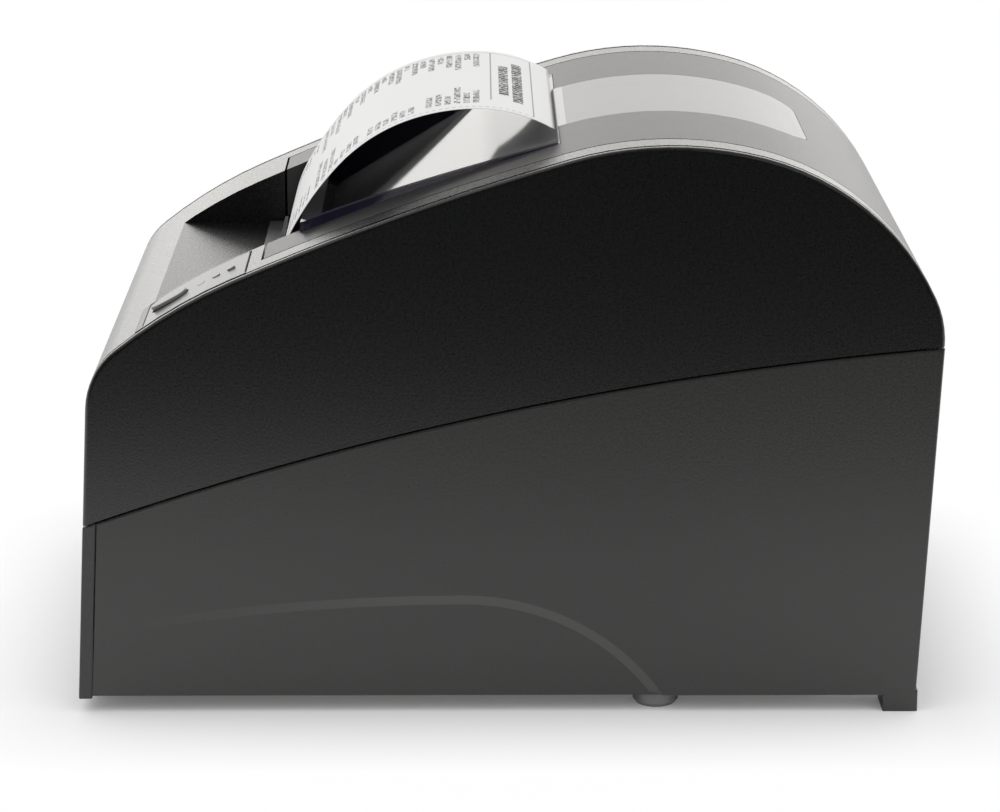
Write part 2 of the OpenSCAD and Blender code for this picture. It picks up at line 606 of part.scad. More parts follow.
// --- clear tray and band ---
tray_front_z = top_z(tray_y + lip_d) - tray_dip;
bar_top = tray_front_z - clear_t;
function rim_rise(y) = rim_h * (rim_end_y - y) / (rim_end_y - tray_y);
RIM_STEPS = 12;
rim_line = [for (k = [0:RIM_STEPS]) let (y = tray_y + (rim_end_y - tray_y) * k / RIM_STEPS)
    [y, top_z(y) + rim_rise(y)]];
under_line = [for (k = [RIM_STEPS:-1:0]) let (y = tray_end_y + (rim_end_y - tray_end_y) * k / RIM_STEPS)
    [y, top_z(y) - clear_t]];
module lid_window() color([0.25, 0.24, 0.28, 0.6]) {
    difference() {
        across(-rim_x, rim_x) polygon(concat(rim_line, under_line,
            [[tray_y + lip_d, tray_front_z - clear_t], [tray_y, tray_front_z - clear_t]]));
        // inside of the tray, down to its sloping floor
        across(-rim_x + rim_w, rim_x - rim_w) polygon([[tray_y + lip_d, tray_front_z],
            [tray_end_y, top_z(tray_end_y)], [tray_end_y, far], [tray_y + lip_d, far]]);
        across(-rim_x + rim_w, rim_x - rim_w) difference() {
            translate([tray_end_y - 1, platen_z]) square([rim_end_y + 2 - tray_end_y, far]);
            outline(0);
        }
        // underside of the front lip
        across(-rim_x + rim_w, rim_x - rim_w) translate([tray_y + clear_t, tray_front_z - 5])
            square([lip_d - 2 * clear_t, top_z(tray_y) - tray_front_z + 4]);
    }
    intersection() {
        across(-rim_x, rim_x) top_band(0, clear_t, rim_end_y - 0.01, band_end_y + 1);
        linear_extrude(far) band_plan(0);
    }
}

// --- hinge pin ---
module hinge_pin() color([0.75, 0.75, 0.77]) rod_x(-KNUCKLES[1][1], KNUCKLES[1][1], hinge_y, hinge_z, hinge_pin_r);

// --- platen, carried under the lid ---
carrier_t = 2.4;
bush_x = [side_x - 0.6, plate_x + 0.6];
carrier_x = [gear_x + gear_w + 0.8, gear_x + gear_w + 0.8 + carrier_t];
carrier_head_r = 2;
CARRIER_XS = [-1, 1] * (carrier_x[0] - carrier_head_r - 0.3);
carrier_end = platen_y + 25;             // back edge of the carrier
CARRIER_YS = [platen_y + 10, platen_y + 22];
carrier_top = top_z(platen_y + 5) - skirt_h - 1.1;
shaft_x = [-carrier_x[1] - 0.8, carrier_x[1] + 0.8];
module platen_shaft() color([0.8, 0.8, 0.82]) rod_x(shaft_x[0], shaft_x[1], platen_y, platen_z, shaft_r);
module platen_rubber() color([0.12, 0.12, 0.12]) difference() {
    rod_x(-paper_w / 2 - 0.4, paper_w / 2 + 0.4, platen_y, platen_z, platen_r);
    rod_x(-half_w, half_w, platen_y, platen_z, shaft_r);
}
module platen_bushes() color([0.85, 0.83, 0.75]) both_sides() difference() {
    rod_x(bush_x[0], bush_x[1], platen_y, platen_z, bush_r);
    rod_x(0, half_w, platen_y, platen_z, shaft_r + run_gap);
}
// one cheek of the carrier: a plate down to the shaft, with a flange under the lid
module carrier_cheek(x) {
    difference() {
        across(x[0], x[1]) difference() {
            intersection() {
                union() {
                    polygon([[platen_y - 4, platen_z], [platen_y - 4, carrier_top - 5], [platen_y + 4, carrier_top],
                        [carrier_end, carrier_top], [carrier_end, carrier_top - 6], [platen_y + 4, platen_z]]);
                    translate([platen_y, platen_z]) circle(r = 4);
                }
                outline(wall);
            }
        }
        rod_x(x[0] - 1, x[1] + 1, platen_y, platen_z, shaft_r + run_gap);
    }
}
module carrier_flange(x0, x1) {
    for (y = CARRIER_YS) difference() {
        intersection() {
            block([x0, x1], [y - 4, y + 4], [carrier_top - 3, far]);
            across(-half_w, half_w) outline(wall);
        }
        for (x = CARRIER_XS) translate([x, y, 0]) cylinder(r = screw_r + 0.15, h = far);
    }
}
module platen_carrier() color([0.3, 0.3, 0.32]) {
    both_sides() carrier_cheek(carrier_x);
    both_sides() carrier_flange(rim_x + 0.4, carrier_x[0]);
}
module carrier_screws() color([0.75, 0.75, 0.77]) for (x = CARRIER_XS, y = CARRIER_YS)
    translate([x, y, carrier_top - 5]) {
        cylinder(r = carrier_head_r, h = 2);
        cylinder(r = screw_r, h = top_z(y) - 1.4 - carrier_top + 5);
    }

// --- gears ---
// spur gear lying across the printer, its first tooth at angle turn
module gear(x, c, teeth, turn, bore) {
    pitch = gear_m * teeth / 2;
    root = pitch - 1.15 * gear_m;
    tip = pitch + 0.85 * gear_m;
    step = 360 / teeth;
    difference() {
        across(x[0], x[1]) translate(c) polygon([for (k = [0:teeth - 1]) let (a = turn + k * step)
            each [root * dir(a - step * 0.29), pitch * dir(a - step * 0.215), tip * dir(a - step * 0.1),
                tip * dir(a + step * 0.1), pitch * dir(a + step * 0.215), root * dir(a + step * 0.29)]]);
        rod_x(x[0] - 1, x[1] + 1, c[0], c[1], bore);
    }
}
left_gears = [-gear_x - gear_w, -gear_x];
platen_turn = train_deg;
idler_turn = train_deg + 180 + 180 / idler_teeth;
// the idler's tooth phase seen from the pinion's side
idler_low = (train_deg - idler_turn) / (360 / idler_teeth);
pinion_turn = train_deg + 180 + (0.5 + (idler_low - floor(idler_low))) * 360 / pinion_teeth;
module platen_gear() color([0.9, 0.88, 0.8]) gear(left_gears, [platen_y, platen_z], platen_teeth, platen_turn, shaft_r);
module idler_gear() color([0.9, 0.88, 0.8]) gear(left_gears, idler_c, idler_teeth, idler_turn, pivot_r + run_gap);
module motor_pinion() color([0.75, 0.7, 0.45]) gear(left_gears, pinion_c, pinion_teeth, pinion_turn, motor_shaft_r);
motor_shaft_r = 1;
module idler_post() color([0.75, 0.75, 0.77]) {
    rod_x(left_gears[0] - 0.4, -side_x, idler_c[0], idler_c[1], pivot_r);
    rod_x(left_gears[0] - 1.4, left_gears[0] - 0.4, idler_c[0], idler_c[1], pivot_r + 1);
}
motor_x = [-side_x, -side_x + motor_l];
module step_motor() color([0.6, 0.6, 0.62]) difference() {
    union() {
        rod_x(motor_x[0], motor_x[1], pinion_c[0], pinion_c[1], motor_r);
        // fixing ears
        across(motor_x[0], motor_x[0] + 1) {
            translate(pinion_c) rotate(train_deg + 105) translate([-2.5, -motor_r - 4]) square([5, 2 * motor_r + 8]);
        }
        across(motor_x[1] - 4, motor_x[1]) translate(pinion_c + [0, -motor_r - 1.5]) square([8, 4]);
    }
    rod_x(motor_x[0] - 1, motor_x[1] - 2, pinion_c[0], pinion_c[1], motor_shaft_r + run_gap);
}
module motor_shaft() color([0.8, 0.8, 0.82])
    rod_x(left_gears[0] - 0.5, motor_x[1] - 2.5, pinion_c[0], pinion_c[1], motor_shaft_r);

// --- mechanism frame ---
slot_r = bush_r + 0.6;
module mech_frame() color([0.1, 0.1, 0.1]) difference() {
    union() {
        both_sides() across(side_x, plate_x) difference() {
            polygon([[mech_front, mech_z], [mech_back, mech_z], [mech_back, platen_z - 20], [platen_y + 8, platen_z],
                [platen_y + 7, platen_z + 4], [platen_y - 6, mech_top], [mech_front, mech_top]]);
            // slot that takes the platen bush from above, wider towards its mouth
            translate([platen_y, platen_z]) circle(r = slot_r);
            translate([platen_y - slot_r, platen_z]) square([2 * slot_r, far]);
        }
        bar(2 * plate_x, [mech_front, mech_back], [mech_z, mech_z + 2.4]);
        bar(2 * plate_x, [mech_front, mech_front + 1.8], [mech_z, mech_top]);
    }
    rod_x(-half_w, half_w, pivot_c[0], pivot_c[1], pivot_r);
    rod_x(-half_w, 0, idler_c[0], idler_c[1], pivot_r);
    rod_x(-half_w, 0, pinion_c[0], pinion_c[1], 2.2);
    at_each(MECH_POSTS) cylinder(r = screw_r + 0.2, h = mech_z + 4);
    // way through for the flat cable
    bar(34, [mech_front + 1.8, mech_front + 5], [0, mech_z + 4]);
}
module mech_screws() color([0.75, 0.75, 0.77]) at_each(MECH_POSTS) {
    translate([0, 0, mech_z - 7.5]) cylinder(r = screw_r, h = 10);
    translate([0, 0, mech_z + 2.4]) cylinder(r = head_r, h = 1.8);
}

// --- print head on its sprung pivot ---
head_w = paper_w + 0.5;
head_top = platen_z + 5;
plate_z = [platen_z - 7, head_top];
module print_head() color([0.85, 0.85, 0.82]) {
    bar(head_w, [head_y - 1, head_y], plate_z);
}
module head_heatsink() color([0.7, 0.71, 0.73]) difference() {
    union() {
        bar(head_w, [head_y - 3.6, head_y - 1], [pivot_c[1], head_top]);
        rod_x(-head_w / 2, head_w / 2, pivot_c[0], pivot_c[1], 2.6);
    }
    rod_x(-half_w, half_w, pivot_c[0], pivot_c[1], pivot_r + run_gap);
    for (k = [-3:3]) bar(70, [head_y - 4.6, head_y - 3], [platen_z + k * 1.4 - 3, platen_z + k * 1.4 - 2.4]);
}
module pivot_pin() color([0.75, 0.75, 0.77]) rod_x(-plate_x, plate_x, pivot_c[0], pivot_c[1], pivot_r);

// coil spring lying along the printer, from y0 to y1
COIL_SIDES = 6;
COIL_STEPS = 10;
module coil(x, z, y0, y1, r, wire, turns) {
    n = turns * COIL_STEPS;
    ring = [for (i = [0:n]) for (k = [0:COIL_SIDES - 1]) let (a = 360 * i / COIL_STEPS, b = 360 * k / COIL_SIDES)
        [x + (r + wire * cos(b)) * cos(a), y0 + wire + (y1 - y0 - 2 * wire) * i / n + wire * sin(b),
            z + (r + wire * cos(b)) * sin(a)]];
    polyhedron(points = ring, faces = concat([[for (k = [0:COIL_SIDES - 1]) k]],
        [[for (k = [COIL_SIDES - 1:-1:0]) n * COIL_SIDES + k]],
        [for (i = [0:n - 1]) for (k = [0:COIL_SIDES - 1]) let (m = (k + 1) % COIL_SIDES)
            each [[i * COIL_SIDES + k, (i + 1) * COIL_SIDES + k, (i + 1) * COIL_SIDES + m],
                [i * COIL_SIDES + k, (i + 1) * COIL_SIDES + m, i * COIL_SIDES + m]]]));
}
HEAD_SPRINGS_X = [-25, 25];
module head_springs() color([0.8, 0.8, 0.82]) for (x = HEAD_SPRINGS_X)
    coil(x, platen_z - 1, mech_front + 1.8, head_y - 3.6, 2.2, 0.3, 5);

// --- catch that holds the platen shaft down ---
catch_x = [paper_w / 2 + 1.2, bush_x[0] - air];
module catch_lever() color([0.55, 0.56, 0.58]) difference() {
    union() {
        both_sides() across(catch_x[0], catch_x[1]) {
            polygon([pivot_c + [-3, -9], pivot_c + [2.5, -3], pivot_c + [2.6, 8], [platen_y - shaft_r - 0.35, platen_z - 1.5],
                [platen_y - shaft_r - 0.35, platen_z + 1.2], pivot_c + [-1, 16], pivot_c + [-3, 12]]);
        }
        bar(2 * catch_x[1], span(pivot_c[0], -4.4, -2.2), span(pivot_c[1], -9, -6));
        both_sides() block(catch_x, span(pivot_c[0], -4.4, -2), span(pivot_c[1], -9, -6));
    }
    rod_x(-half_w, half_w, pivot_c[0], pivot_c[1], pivot_r + run_gap);
}
module catch_springs() color([0.8, 0.8, 0.82]) for (s = [-1, 1])
    coil(s * (catch_x[0] + catch_x[1]) / 2, pivot_c[1] + 9.5, mech_front + 1.8, pivot_c[0] - 3, 1.2, 0.25, 5);

// --- tear bar: a bent steel strip with a row of points ---
tear_w = 2 * side_x - 3;
tear_y = [lid_y - 0.5, lid_y + 0.3];
tear_top = pocket_z + 2.2;
tear_teeth = floor(tear_w / tooth_pitch);
module tear_bar() color([0.78, 0.78, 0.8]) {
    bar(tear_w, [tear_y[0] - 4, tear_y[1]], [pocket_z, pocket_z + 0.8]);
    translate([0, tear_y[1], 0]) rotate([90, 0, 0]) linear_extrude(tear_y[1] - tear_y[0])
        polygon(concat([[tear_w / 2, pocket_z], [-tear_w / 2, pocket_z], [-tear_w / 2, tear_top - 1]],
            [for (k = [0:tear_teeth - 1]) each [
                [-tear_w / 2 + (k + 0.5) * tear_w / tear_teeth, tear_top],
                [-tear_w / 2 + (k + 1) * tear_w / tear_teeth, tear_top - 1]]]));
}

// --- paper bucket, roll and web ---
bucket_r = roll_r + bucket_gap;
bucket_c = [roll_y, roll_z + bucket_gap - air];
bucket_x = paper_w / 2 + 1.4;
ramp_gap = 1.6;                          // gap from the paper down to the guide ramp
ramp_p = web_p + (paper_t + ramp_gap) * web_n + 12 * web_dir;
ramp_q = bucket_c + bucket_r * web_n;
bucket_rise = 12;                        // how far the rear wall climbs past the level of the axis, in degrees
BUCKET_STEPS = 18;
function bucket_arc(r) = [for (k = [0:BUCKET_STEPS])
    bucket_c + r * dir(web_a + (bucket_rise - web_a) * k / BUCKET_STEPS)];
module bucket_wall() {
    polygon(concat([ramp_p + bucket_t * web_n], bucket_arc(bucket_r + bucket_t), flip(bucket_arc(bucket_r)), [ramp_p]));
}
module bucket_side() {
    polygon(concat([ramp_p + bucket_t * web_n], bucket_arc(bucket_r + bucket_t),
        [bucket_c + [14, 24], bucket_c + [-20, 24], ramp_p - 12 * web_n]));
}
module paper_bucket() color([0.17, 0.17, 0.18]) difference() {
    union() {
        across(-bucket_x - bucket_t, bucket_x + bucket_t) bucket_wall();
        both_sides() across(bucket_x, bucket_x + bucket_t) bucket_side();
        both_sides() for (p = BUCKET_POSTS)
            block([bucket_x + 1, p[0] + 4], span(p[1], -4, 4), [bucket_post_z, bucket_post_z + 2.4]);
    }
    at_each(BUCKET_POSTS) cylinder(r = screw_r + 0.2, h = far);
}
module bucket_screws() color([0.75, 0.75, 0.77]) at_each(BUCKET_POSTS) {
    translate([0, 0, bucket_post_z - 7.5]) cylinder(r = screw_r, h = 10);
    translate([0, 0, bucket_post_z + 2.4]) cylinder(r = head_r, h = 1.8);
}
module paper_roll() color([0.95, 0.95, 0.93]) difference() {
    rod_x(-paper_w / 2, paper_w / 2, roll_y, roll_z, roll_r);
    rod_x(-half_w, half_w, roll_y, roll_z, core_r);
}
module roll_core() color([0.7, 0.58, 0.42]) difference() {
    rod_x(-paper_w / 2, paper_w / 2, roll_y, roll_z, core_r);
    rod_x(-half_w, half_w, roll_y, roll_z, core_r - core_wall);
}
WRAP_STEPS = 8;
web_wrap = web_a + 180;                  // the paper turns from here up to the nip
module paper_web() color([0.94, 0.94, 0.92]) across(-paper_w / 2, paper_w / 2) {
    inner = [for (k = [0:WRAP_STEPS]) [platen_y, platen_z] + web_in * dir(180 + web_wrap * k / WRAP_STEPS)];
    outer = [for (k = [WRAP_STEPS:-1:0]) [platen_y, platen_z]
        + (web_in + paper_t) * dir(180 + web_wrap * k / WRAP_STEPS)];
    end = web_q - 10 * web_dir;
    polygon(concat(inner, [end, end + paper_t * web_n], outer));
}
// printed strip: straight up from the nip, then arcs that lay it back over the lid
STRIP = [[31, 28], [75, 15], [42, 27], [49, 20], [36.4, 30]];   // radius and turn of each arc
strip_start = [paper_y, platen_z + 0.3];
// the arcs' own reach, and the straight rise that clears the tray's front lip and the hump
function strip_reach(i) = i == 0 ? [0, 0] :
    strip_reach(i - 1) + STRIP[i - 1][0] * (dir(strip_heading(i) + 90) - dir(strip_heading(i - 1) + 90));
strip_end_y = paper_y + strip_reach(5)[0];
lip_arc = strip_reach(1) - STRIP[1][0] * dir(strip_heading(1) + 90);
lip_reach = lip_arc[1] + sqrt(pow(STRIP[1][0], 2) - pow(tray_y - paper_y - lip_arc[0], 2));
strip_rise = max(top_z(strip_end_y) + strip_clear - strip_reach(5)[1],
    top_z(tray_y) + rim_h + strip_lean - lip_reach) - strip_start[1];
function strip_heading(i) = i == 0 ? 90 : strip_heading(i - 1) - STRIP[i - 1][1];
function strip_at(i) = strip_start + [0, strip_rise] + strip_reach(i);
function strip_side(s) = concat([strip_start + [s, 0]], [for (i = [0:4]) for (k = [0:6]) if (k > 0 || i == 0)
    let (h = strip_heading(i), a = h - STRIP[i][1] * k / 6)
    strip_at(i) + STRIP[i][0] * (dir(a + 90) - dir(h + 90)) + s * dir(a - 90)]);
function flip(v) = [for (i = [len(v) - 1:-1:0]) v[i]];
module receipt() color([0.97, 0.97, 0.96]) across(-paper_w / 2, paper_w / 2)
    polygon(concat(strip_side(paper_t / 2), flip(strip_side(-paper_t / 2))));
// reflective sensor let into the guide ramp
module paper_sensor() color([0.05, 0.05, 0.06]) {
    c = (ramp_p + ramp_q) / 2 + bucket_t * web_n;
    across(-3, 3) polygon([c, c + 8 * web_dir, c + 8 * web_dir + 4 * web_n, c + 4 * web_n]);
}

// --- main board and its sockets ---
SOCKET_Z = [board_top - 0.1, board_top];
POWER_X = span(-board_w / 2, -0.1, 14.1);
USB_X = span(POWER_X[1], 4.8, 17);
DRAWER_X = span(board_w / 2, -14.1, -0.9);
serial_x = 8;
serial_z = board_top + 6.3;
module main_board() color([0.08, 0.3, 0.18]) difference() {
    bar(board_w, board_y, [board_z, board_top]);
    at_each(BOARD_POSTS) translate([0, 0, board_z - 1]) cylinder(r = screw_r + 0.2, h = 4);
}
module board_screws() color([0.75, 0.75, 0.77]) at_each(BOARD_POSTS) {
    translate([0, 0, board_z - 4.5]) cylinder(r = screw_r, h = 5 + board_t);
    translate([0, 0, board_top]) cylinder(r = head_r, h = 1.6);
}
// processor, driver chips, supply capacitors, coil and cable sockets
module board_parts() color([0.12, 0.12, 0.13]) {
    y0 = board_y[0];
    block([-8, 8], [y0 + 22, y0 + 38], [board_top, board_top + 1.6]);
    block([14, 24], [y0 + 24, y0 + 32], [board_top, board_top + 1.6]);
    block([14, 24], [y0 + 38, y0 + 46], [board_top, board_top + 1.6]);
    for (k = [0:2]) translate([-32, y0 + 20 + k * 13, board_top]) cylinder(r = 5, h = 10);
    translate([-18, y0 + 54, board_top]) cylinder(r = 6, h = 5);
    block([-17, 17], [y0 + 2, y0 + 7], [board_top, board_top + 4]);
    block(span(board_w / 2, -22, -10), [y0 + 2, y0 + 8], [board_top, board_top + 6]);
}
socket_y = [bay_y - 14, bay_y];
// metal or plastic socket body with its opening to the back
module socket_body(x, h, hole_w, hole_h, hole_z) {
    difference() {
        block(x + [0.1, -0.1], socket_y, [board_top, board_top + h]);
        translate([(x[0] + x[1] - hole_w) / 2, bay_y - 10, board_top + hole_z]) cube([hole_w, 11, hole_h]);
    }
}
power_mid = (POWER_X[0] + POWER_X[1]) / 2;
module power_inlet() color([0.06, 0.06, 0.06]) difference() {
    block(POWER_X + [0.1, -0.1], socket_y, [board_top, board_top + 11]);
    difference() {
        rod_y(bay_y - 9, bay_y + 1, power_mid, board_top + 5.5, 3.2);
        rod_y(bay_y - 10, bay_y - 0.6, power_mid, board_top + 5.5, 1);
    }
}
module usb_socket() color([0.72, 0.72, 0.74]) {
    usb_mid = (USB_X[0] + USB_X[1]) / 2;
    socket_body(USB_X, 11, 8.5, 7.8, 1.6);
    block(span(usb_mid, -2.8, 2.8), [bay_y - 10.5, bay_y - 1.5], span(board_top, 3.9, 7.1));
}
module drawer_socket() color([0.1, 0.1, 0.1]) difference() {
    socket_body(DRAWER_X, 12, 9.7, 6.7, 2.8);
    translate([(DRAWER_X[0] + DRAWER_X[1]) / 2 - 2, bay_y - 10, board_top + 1.4]) cube([4, 11, 2]);
}
module shell_shape(g) {
    polygon([[-8.4 - g, 4.2 + g], [8.4 + g, 4.2 + g], [6.9 + g, -4.2 - g], [-6.9 - g, -4.2 - g]]);
}
module serial_socket() color([0.7, 0.7, 0.72]) {
    block(span(serial_x, -8.9, 8.9), [bay_y - 14, bay_y - wall], [board_top, board_top + 11]);
    translate([serial_x, bay_y + 4.4, serial_z]) rotate([90, 0, 0]) linear_extrude(4.4 + wall) difference() {
        shell_shape(0);
        shell_shape(-0.6);
    }
    // pins
    for (k = [-2:2]) rod_y(bay_y - wall - 1, bay_y + 3, serial_x + k * 2.76, serial_z + 1.42, 0.5);
    for (k = [-1.5:1.5]) rod_y(bay_y - wall - 1, bay_y + 3, serial_x + k * 2.76, serial_z - 1.42, 0.5);
}
module jackscrews() color([0.78, 0.78, 0.8]) for (s = [-1, 1]) translate([serial_x + s * jack_pitch / 2, 0, 0])
    difference() {
        union() {
            translate([0, bay_y + 4.6, serial_z]) rotate([90, 0, 0]) cylinder(r = 2.75, h = 4.6, $fn = 6);
            rod_y(bay_y - 5, bay_y + 0.1, 0, serial_z, 1.4);
        }
        rod_y(bay_y + 0.6, bay_y + 5, 0, serial_z, jack_r);
    }

// --- power switch in the left wall ---
switch_y = front_y + 34;
switch_z = foot_h + 24;
rocker_deg = 7;
switch_c = [switch_y, switch_z];
rocker_x = -half_w + 2.2;               // rocking axis, just inside the wall
module switch_body() color([0.05, 0.05, 0.05]) difference() {
    union() {
        block([-half_w, -half_w + 16], span(switch_y, -6.4, 6.4), span(switch_z, -9.4, 9.4));
        block([-half_w - 1, -half_w], span(switch_y, -7.6, 7.6), span(switch_z, -10.6, 10.6));
    }
    block([-half_w - 2, -half_w + 9], span(switch_y, -4.6, 4.6), span(switch_z, -7.8, 7.8));
    rod_y(switch_y - 5.4, switch_y + 5.4, rocker_x, switch_z, 1.05);
}
module switch_rocker() color([0.12, 0.12, 0.12]) translate([rocker_x, 0, switch_z]) rotate([0, rocker_deg, 0])
    translate([-rocker_x, 0, -switch_z]) {
    translate([0, switch_y + 4.3, 0]) rotate([90, 0, 0]) linear_extrude(8.6) difference() {
        // two flats that meet at the middle, set over to the off side
        polygon([[rocker_x, switch_z - 6.8], [rocker_x + 3.5, switch_z - 4], [rocker_x + 3.5, switch_z + 4],
            [rocker_x, switch_z + 6.8], [rocker_x - 3.7, switch_z + 6.6], [rocker_x - 2.6, switch_z],
            [rocker_x - 3.7, switch_z - 6.6]]);
    }
    rod_y(switch_y - 5.3, switch_y + 5.3, rocker_x, switch_z, 1);
}

// --- flat cable from the print head to the board ---
flex_t = 0.3;
flex_path = [[head_y - 4.6, pivot_c[1] + 6], [mech_front + 2.3, pivot_c[1] - 2], [mech_front + 2.3, mech_z - 10],
    [mech_front + 9, board_top + 2.5], [board_y[0] + 1.8, board_top + 2.5]];
module head_flex() color([0.85, 0.85, 0.8]) across(-15, 15) for (k = [0:len(flex_path) - 2]) {
    along = (flex_path[k + 1] - flex_path[k]) / norm(flex_path[k + 1] - flex_path[k]);
    side = flex_t * [-along[1], along[0]];
    polygon([flex_path[k], flex_path[k + 1] + 0.15 * along, flex_path[k + 1] + 0.15 * along + side, flex_path[k] + side]);
}

// --- feet and case screws ---
module rubber_feet() color([0.3, 0.3, 0.3]) at_each(FEET) {
    cylinder(r1 = foot_r - 0.8, r2 = foot_r, h = 1);
    translate([0, 0, 1]) cylinder(r = foot_r, h = foot_h - 0.4);
}
module case_screws() color([0.75, 0.75, 0.77]) both_sides() for (p = CASE_POSTS) {
    translate([p[0], p[1], seam_z(p[1]) - 8 - 2]) cylinder(r = head_r, h = 2);
    translate([p[0], p[1], seam_z(p[1]) - 8]) cylinder(r = screw_r, h = 15);
}

lower_case();
upper_case();
front_panel();
rubber_feet();
case_screws();
control_overlay();
feed_button();
led_lenses();
panel_board();
tact_switch();
lid_cover();
lid_window();
hinge_pin();
platen_shaft();
platen_rubber();
platen_gear();
platen_bushes();
platen_carrier();
carrier_screws();
mech_frame();
mech_screws();
print_head();
head_heatsink();
pivot_pin();
head_springs();
catch_lever();
catch_springs();
step_motor();
motor_shaft();
motor_pinion();
idler_gear();
idler_post();
tear_bar();
paper_bucket();
bucket_screws();
paper_roll();
roll_core();
paper_web();
receipt();
paper_sensor();
main_board();
board_screws();
board_parts();
power_inlet();
usb_socket();
drawer_socket();
serial_socket();
jackscrews();
switch_body();
switch_rocker();
head_flex();
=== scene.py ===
"""Looks of a desktop receipt printer: shells, tray, strip, finishes, floor, lamps and camera."""

import math

import bmesh
import bpy
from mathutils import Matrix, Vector


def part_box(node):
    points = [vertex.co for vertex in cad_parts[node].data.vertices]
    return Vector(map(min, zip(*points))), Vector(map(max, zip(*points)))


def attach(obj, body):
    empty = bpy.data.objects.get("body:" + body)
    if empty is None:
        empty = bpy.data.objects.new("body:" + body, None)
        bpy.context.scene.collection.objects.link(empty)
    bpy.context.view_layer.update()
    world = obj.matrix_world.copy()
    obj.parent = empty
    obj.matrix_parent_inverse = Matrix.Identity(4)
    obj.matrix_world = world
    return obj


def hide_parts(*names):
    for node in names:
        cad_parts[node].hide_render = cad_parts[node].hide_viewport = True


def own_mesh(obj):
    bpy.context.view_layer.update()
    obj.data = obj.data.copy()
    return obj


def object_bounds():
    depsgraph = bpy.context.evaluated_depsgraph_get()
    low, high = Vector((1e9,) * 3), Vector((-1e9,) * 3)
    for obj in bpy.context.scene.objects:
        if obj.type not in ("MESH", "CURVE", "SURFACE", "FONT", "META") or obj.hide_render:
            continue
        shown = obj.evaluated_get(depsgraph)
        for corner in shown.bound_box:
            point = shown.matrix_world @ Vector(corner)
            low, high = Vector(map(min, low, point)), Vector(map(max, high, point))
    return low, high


bl_info = {
    "name": "Receipt printer looks",
    "version": (1, 0, 0),
    "blender": (4, 5, 0),
    "location": "View3D > Sidebar > Printer",
    "description": "Dresses the jointed receipt printer with shells, tray, printed strip and finishes",
    "category": "Object",
}

MM = 0.001

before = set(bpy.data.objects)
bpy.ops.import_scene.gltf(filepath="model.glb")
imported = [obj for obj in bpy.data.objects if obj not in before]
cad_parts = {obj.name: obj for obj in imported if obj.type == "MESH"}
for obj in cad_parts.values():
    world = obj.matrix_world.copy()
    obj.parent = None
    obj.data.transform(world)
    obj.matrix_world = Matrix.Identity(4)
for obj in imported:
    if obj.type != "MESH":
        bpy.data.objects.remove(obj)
cad_box = [list(corner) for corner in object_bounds()]
HALF_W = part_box("lower_case")[1].x      # from the middle of the case to its side
MATERIALS = {}                          # each finish by its name


# ---------------------------------------------------------------- settings


def colour(name, about, value):
    return bpy.props.FloatVectorProperty(
        name=name, description=about, subtype="COLOR", size=3, min=0, max=1, default=value
    )


def length(name, about, value_mm):
    return bpy.props.FloatProperty(
        name=name, description=about, unit="LENGTH", subtype="DISTANCE", default=value_mm * MM
    )


class PrinterColours(bpy.types.PropertyGroup):
    """Colours of the finishes, as linear values"""

    upper: colour("Upper case", "Dark grained plastic of the upper case", (0.0042, 0.0043, 0.0048))
    lower: colour("Lower case", "Warm grey grained plastic of the lower case", (0.0215, 0.0208, 0.0198))
    panel: colour("Front panel", "Plastic of the front panel", (0.045, 0.045, 0.046))
    lid: colour("Lid", "Satin plastic of the lid", (0.035, 0.034, 0.034))
    smoked: colour("Clear tray", "Tint of the smoked tray", (0.016, 0.014, 0.03))
    # the band's pale tint is partly a painted reflection, and the window finish also paints the tray
    # floor inside the rim with it
    band: colour("Clear band", "Tint of the clear band over the roll", (0.16, 0.155, 0.156))
    film: colour("Control film", "Printed film of the control panel", (0.16, 0.163, 0.165))
    button: colour("Button", "Moulding of the feed button", (0.16, 0.175, 0.2))
    paper: colour("Paper", "Thermal paper", (0.76, 0.76, 0.757))
    ink: colour("Print", "Marks on the receipt", (0.05, 0.05, 0.055))
    rubber: colour("Rubber", "Feet and platen", (0.02, 0.02, 0.02))
    board: colour("Circuit board", "Lacquer of the circuit boards", (0.01, 0.11, 0.05))


class PrinterSizes(bpy.types.PropertyGroup):
    """Small sizes that the looks add to the frame"""

    edge: length("Case edge", "Radius of the rounded edge along the sides of the case", 1.1)
    groove: length("Groove", "How far the groove beside the sides is widened inwards", 0.45)
    seam_edge: length("Seam edge", "Radius of the edges along the seams", 0.3)
    button_edge: length("Button edge", "Radius of the rim of the feed button", 0.35)
    lid_edge: length("Lid edge", "Radius of the lid's edges", 0.35)
    tray_edge: length("Tray edge", "Radius of the edges of the clear tray and band", 0.3)
    grain: length("Grain", "Size of one cell of the moulded grain", 0.5)
    paper: length("Paper", "Thickness of the printed strip", 0.12)
    tooth: length("Torn tooth", "Height of the torn teeth at the end of the strip", 1.1)


# ---------------------------------------------------------------- shader sums


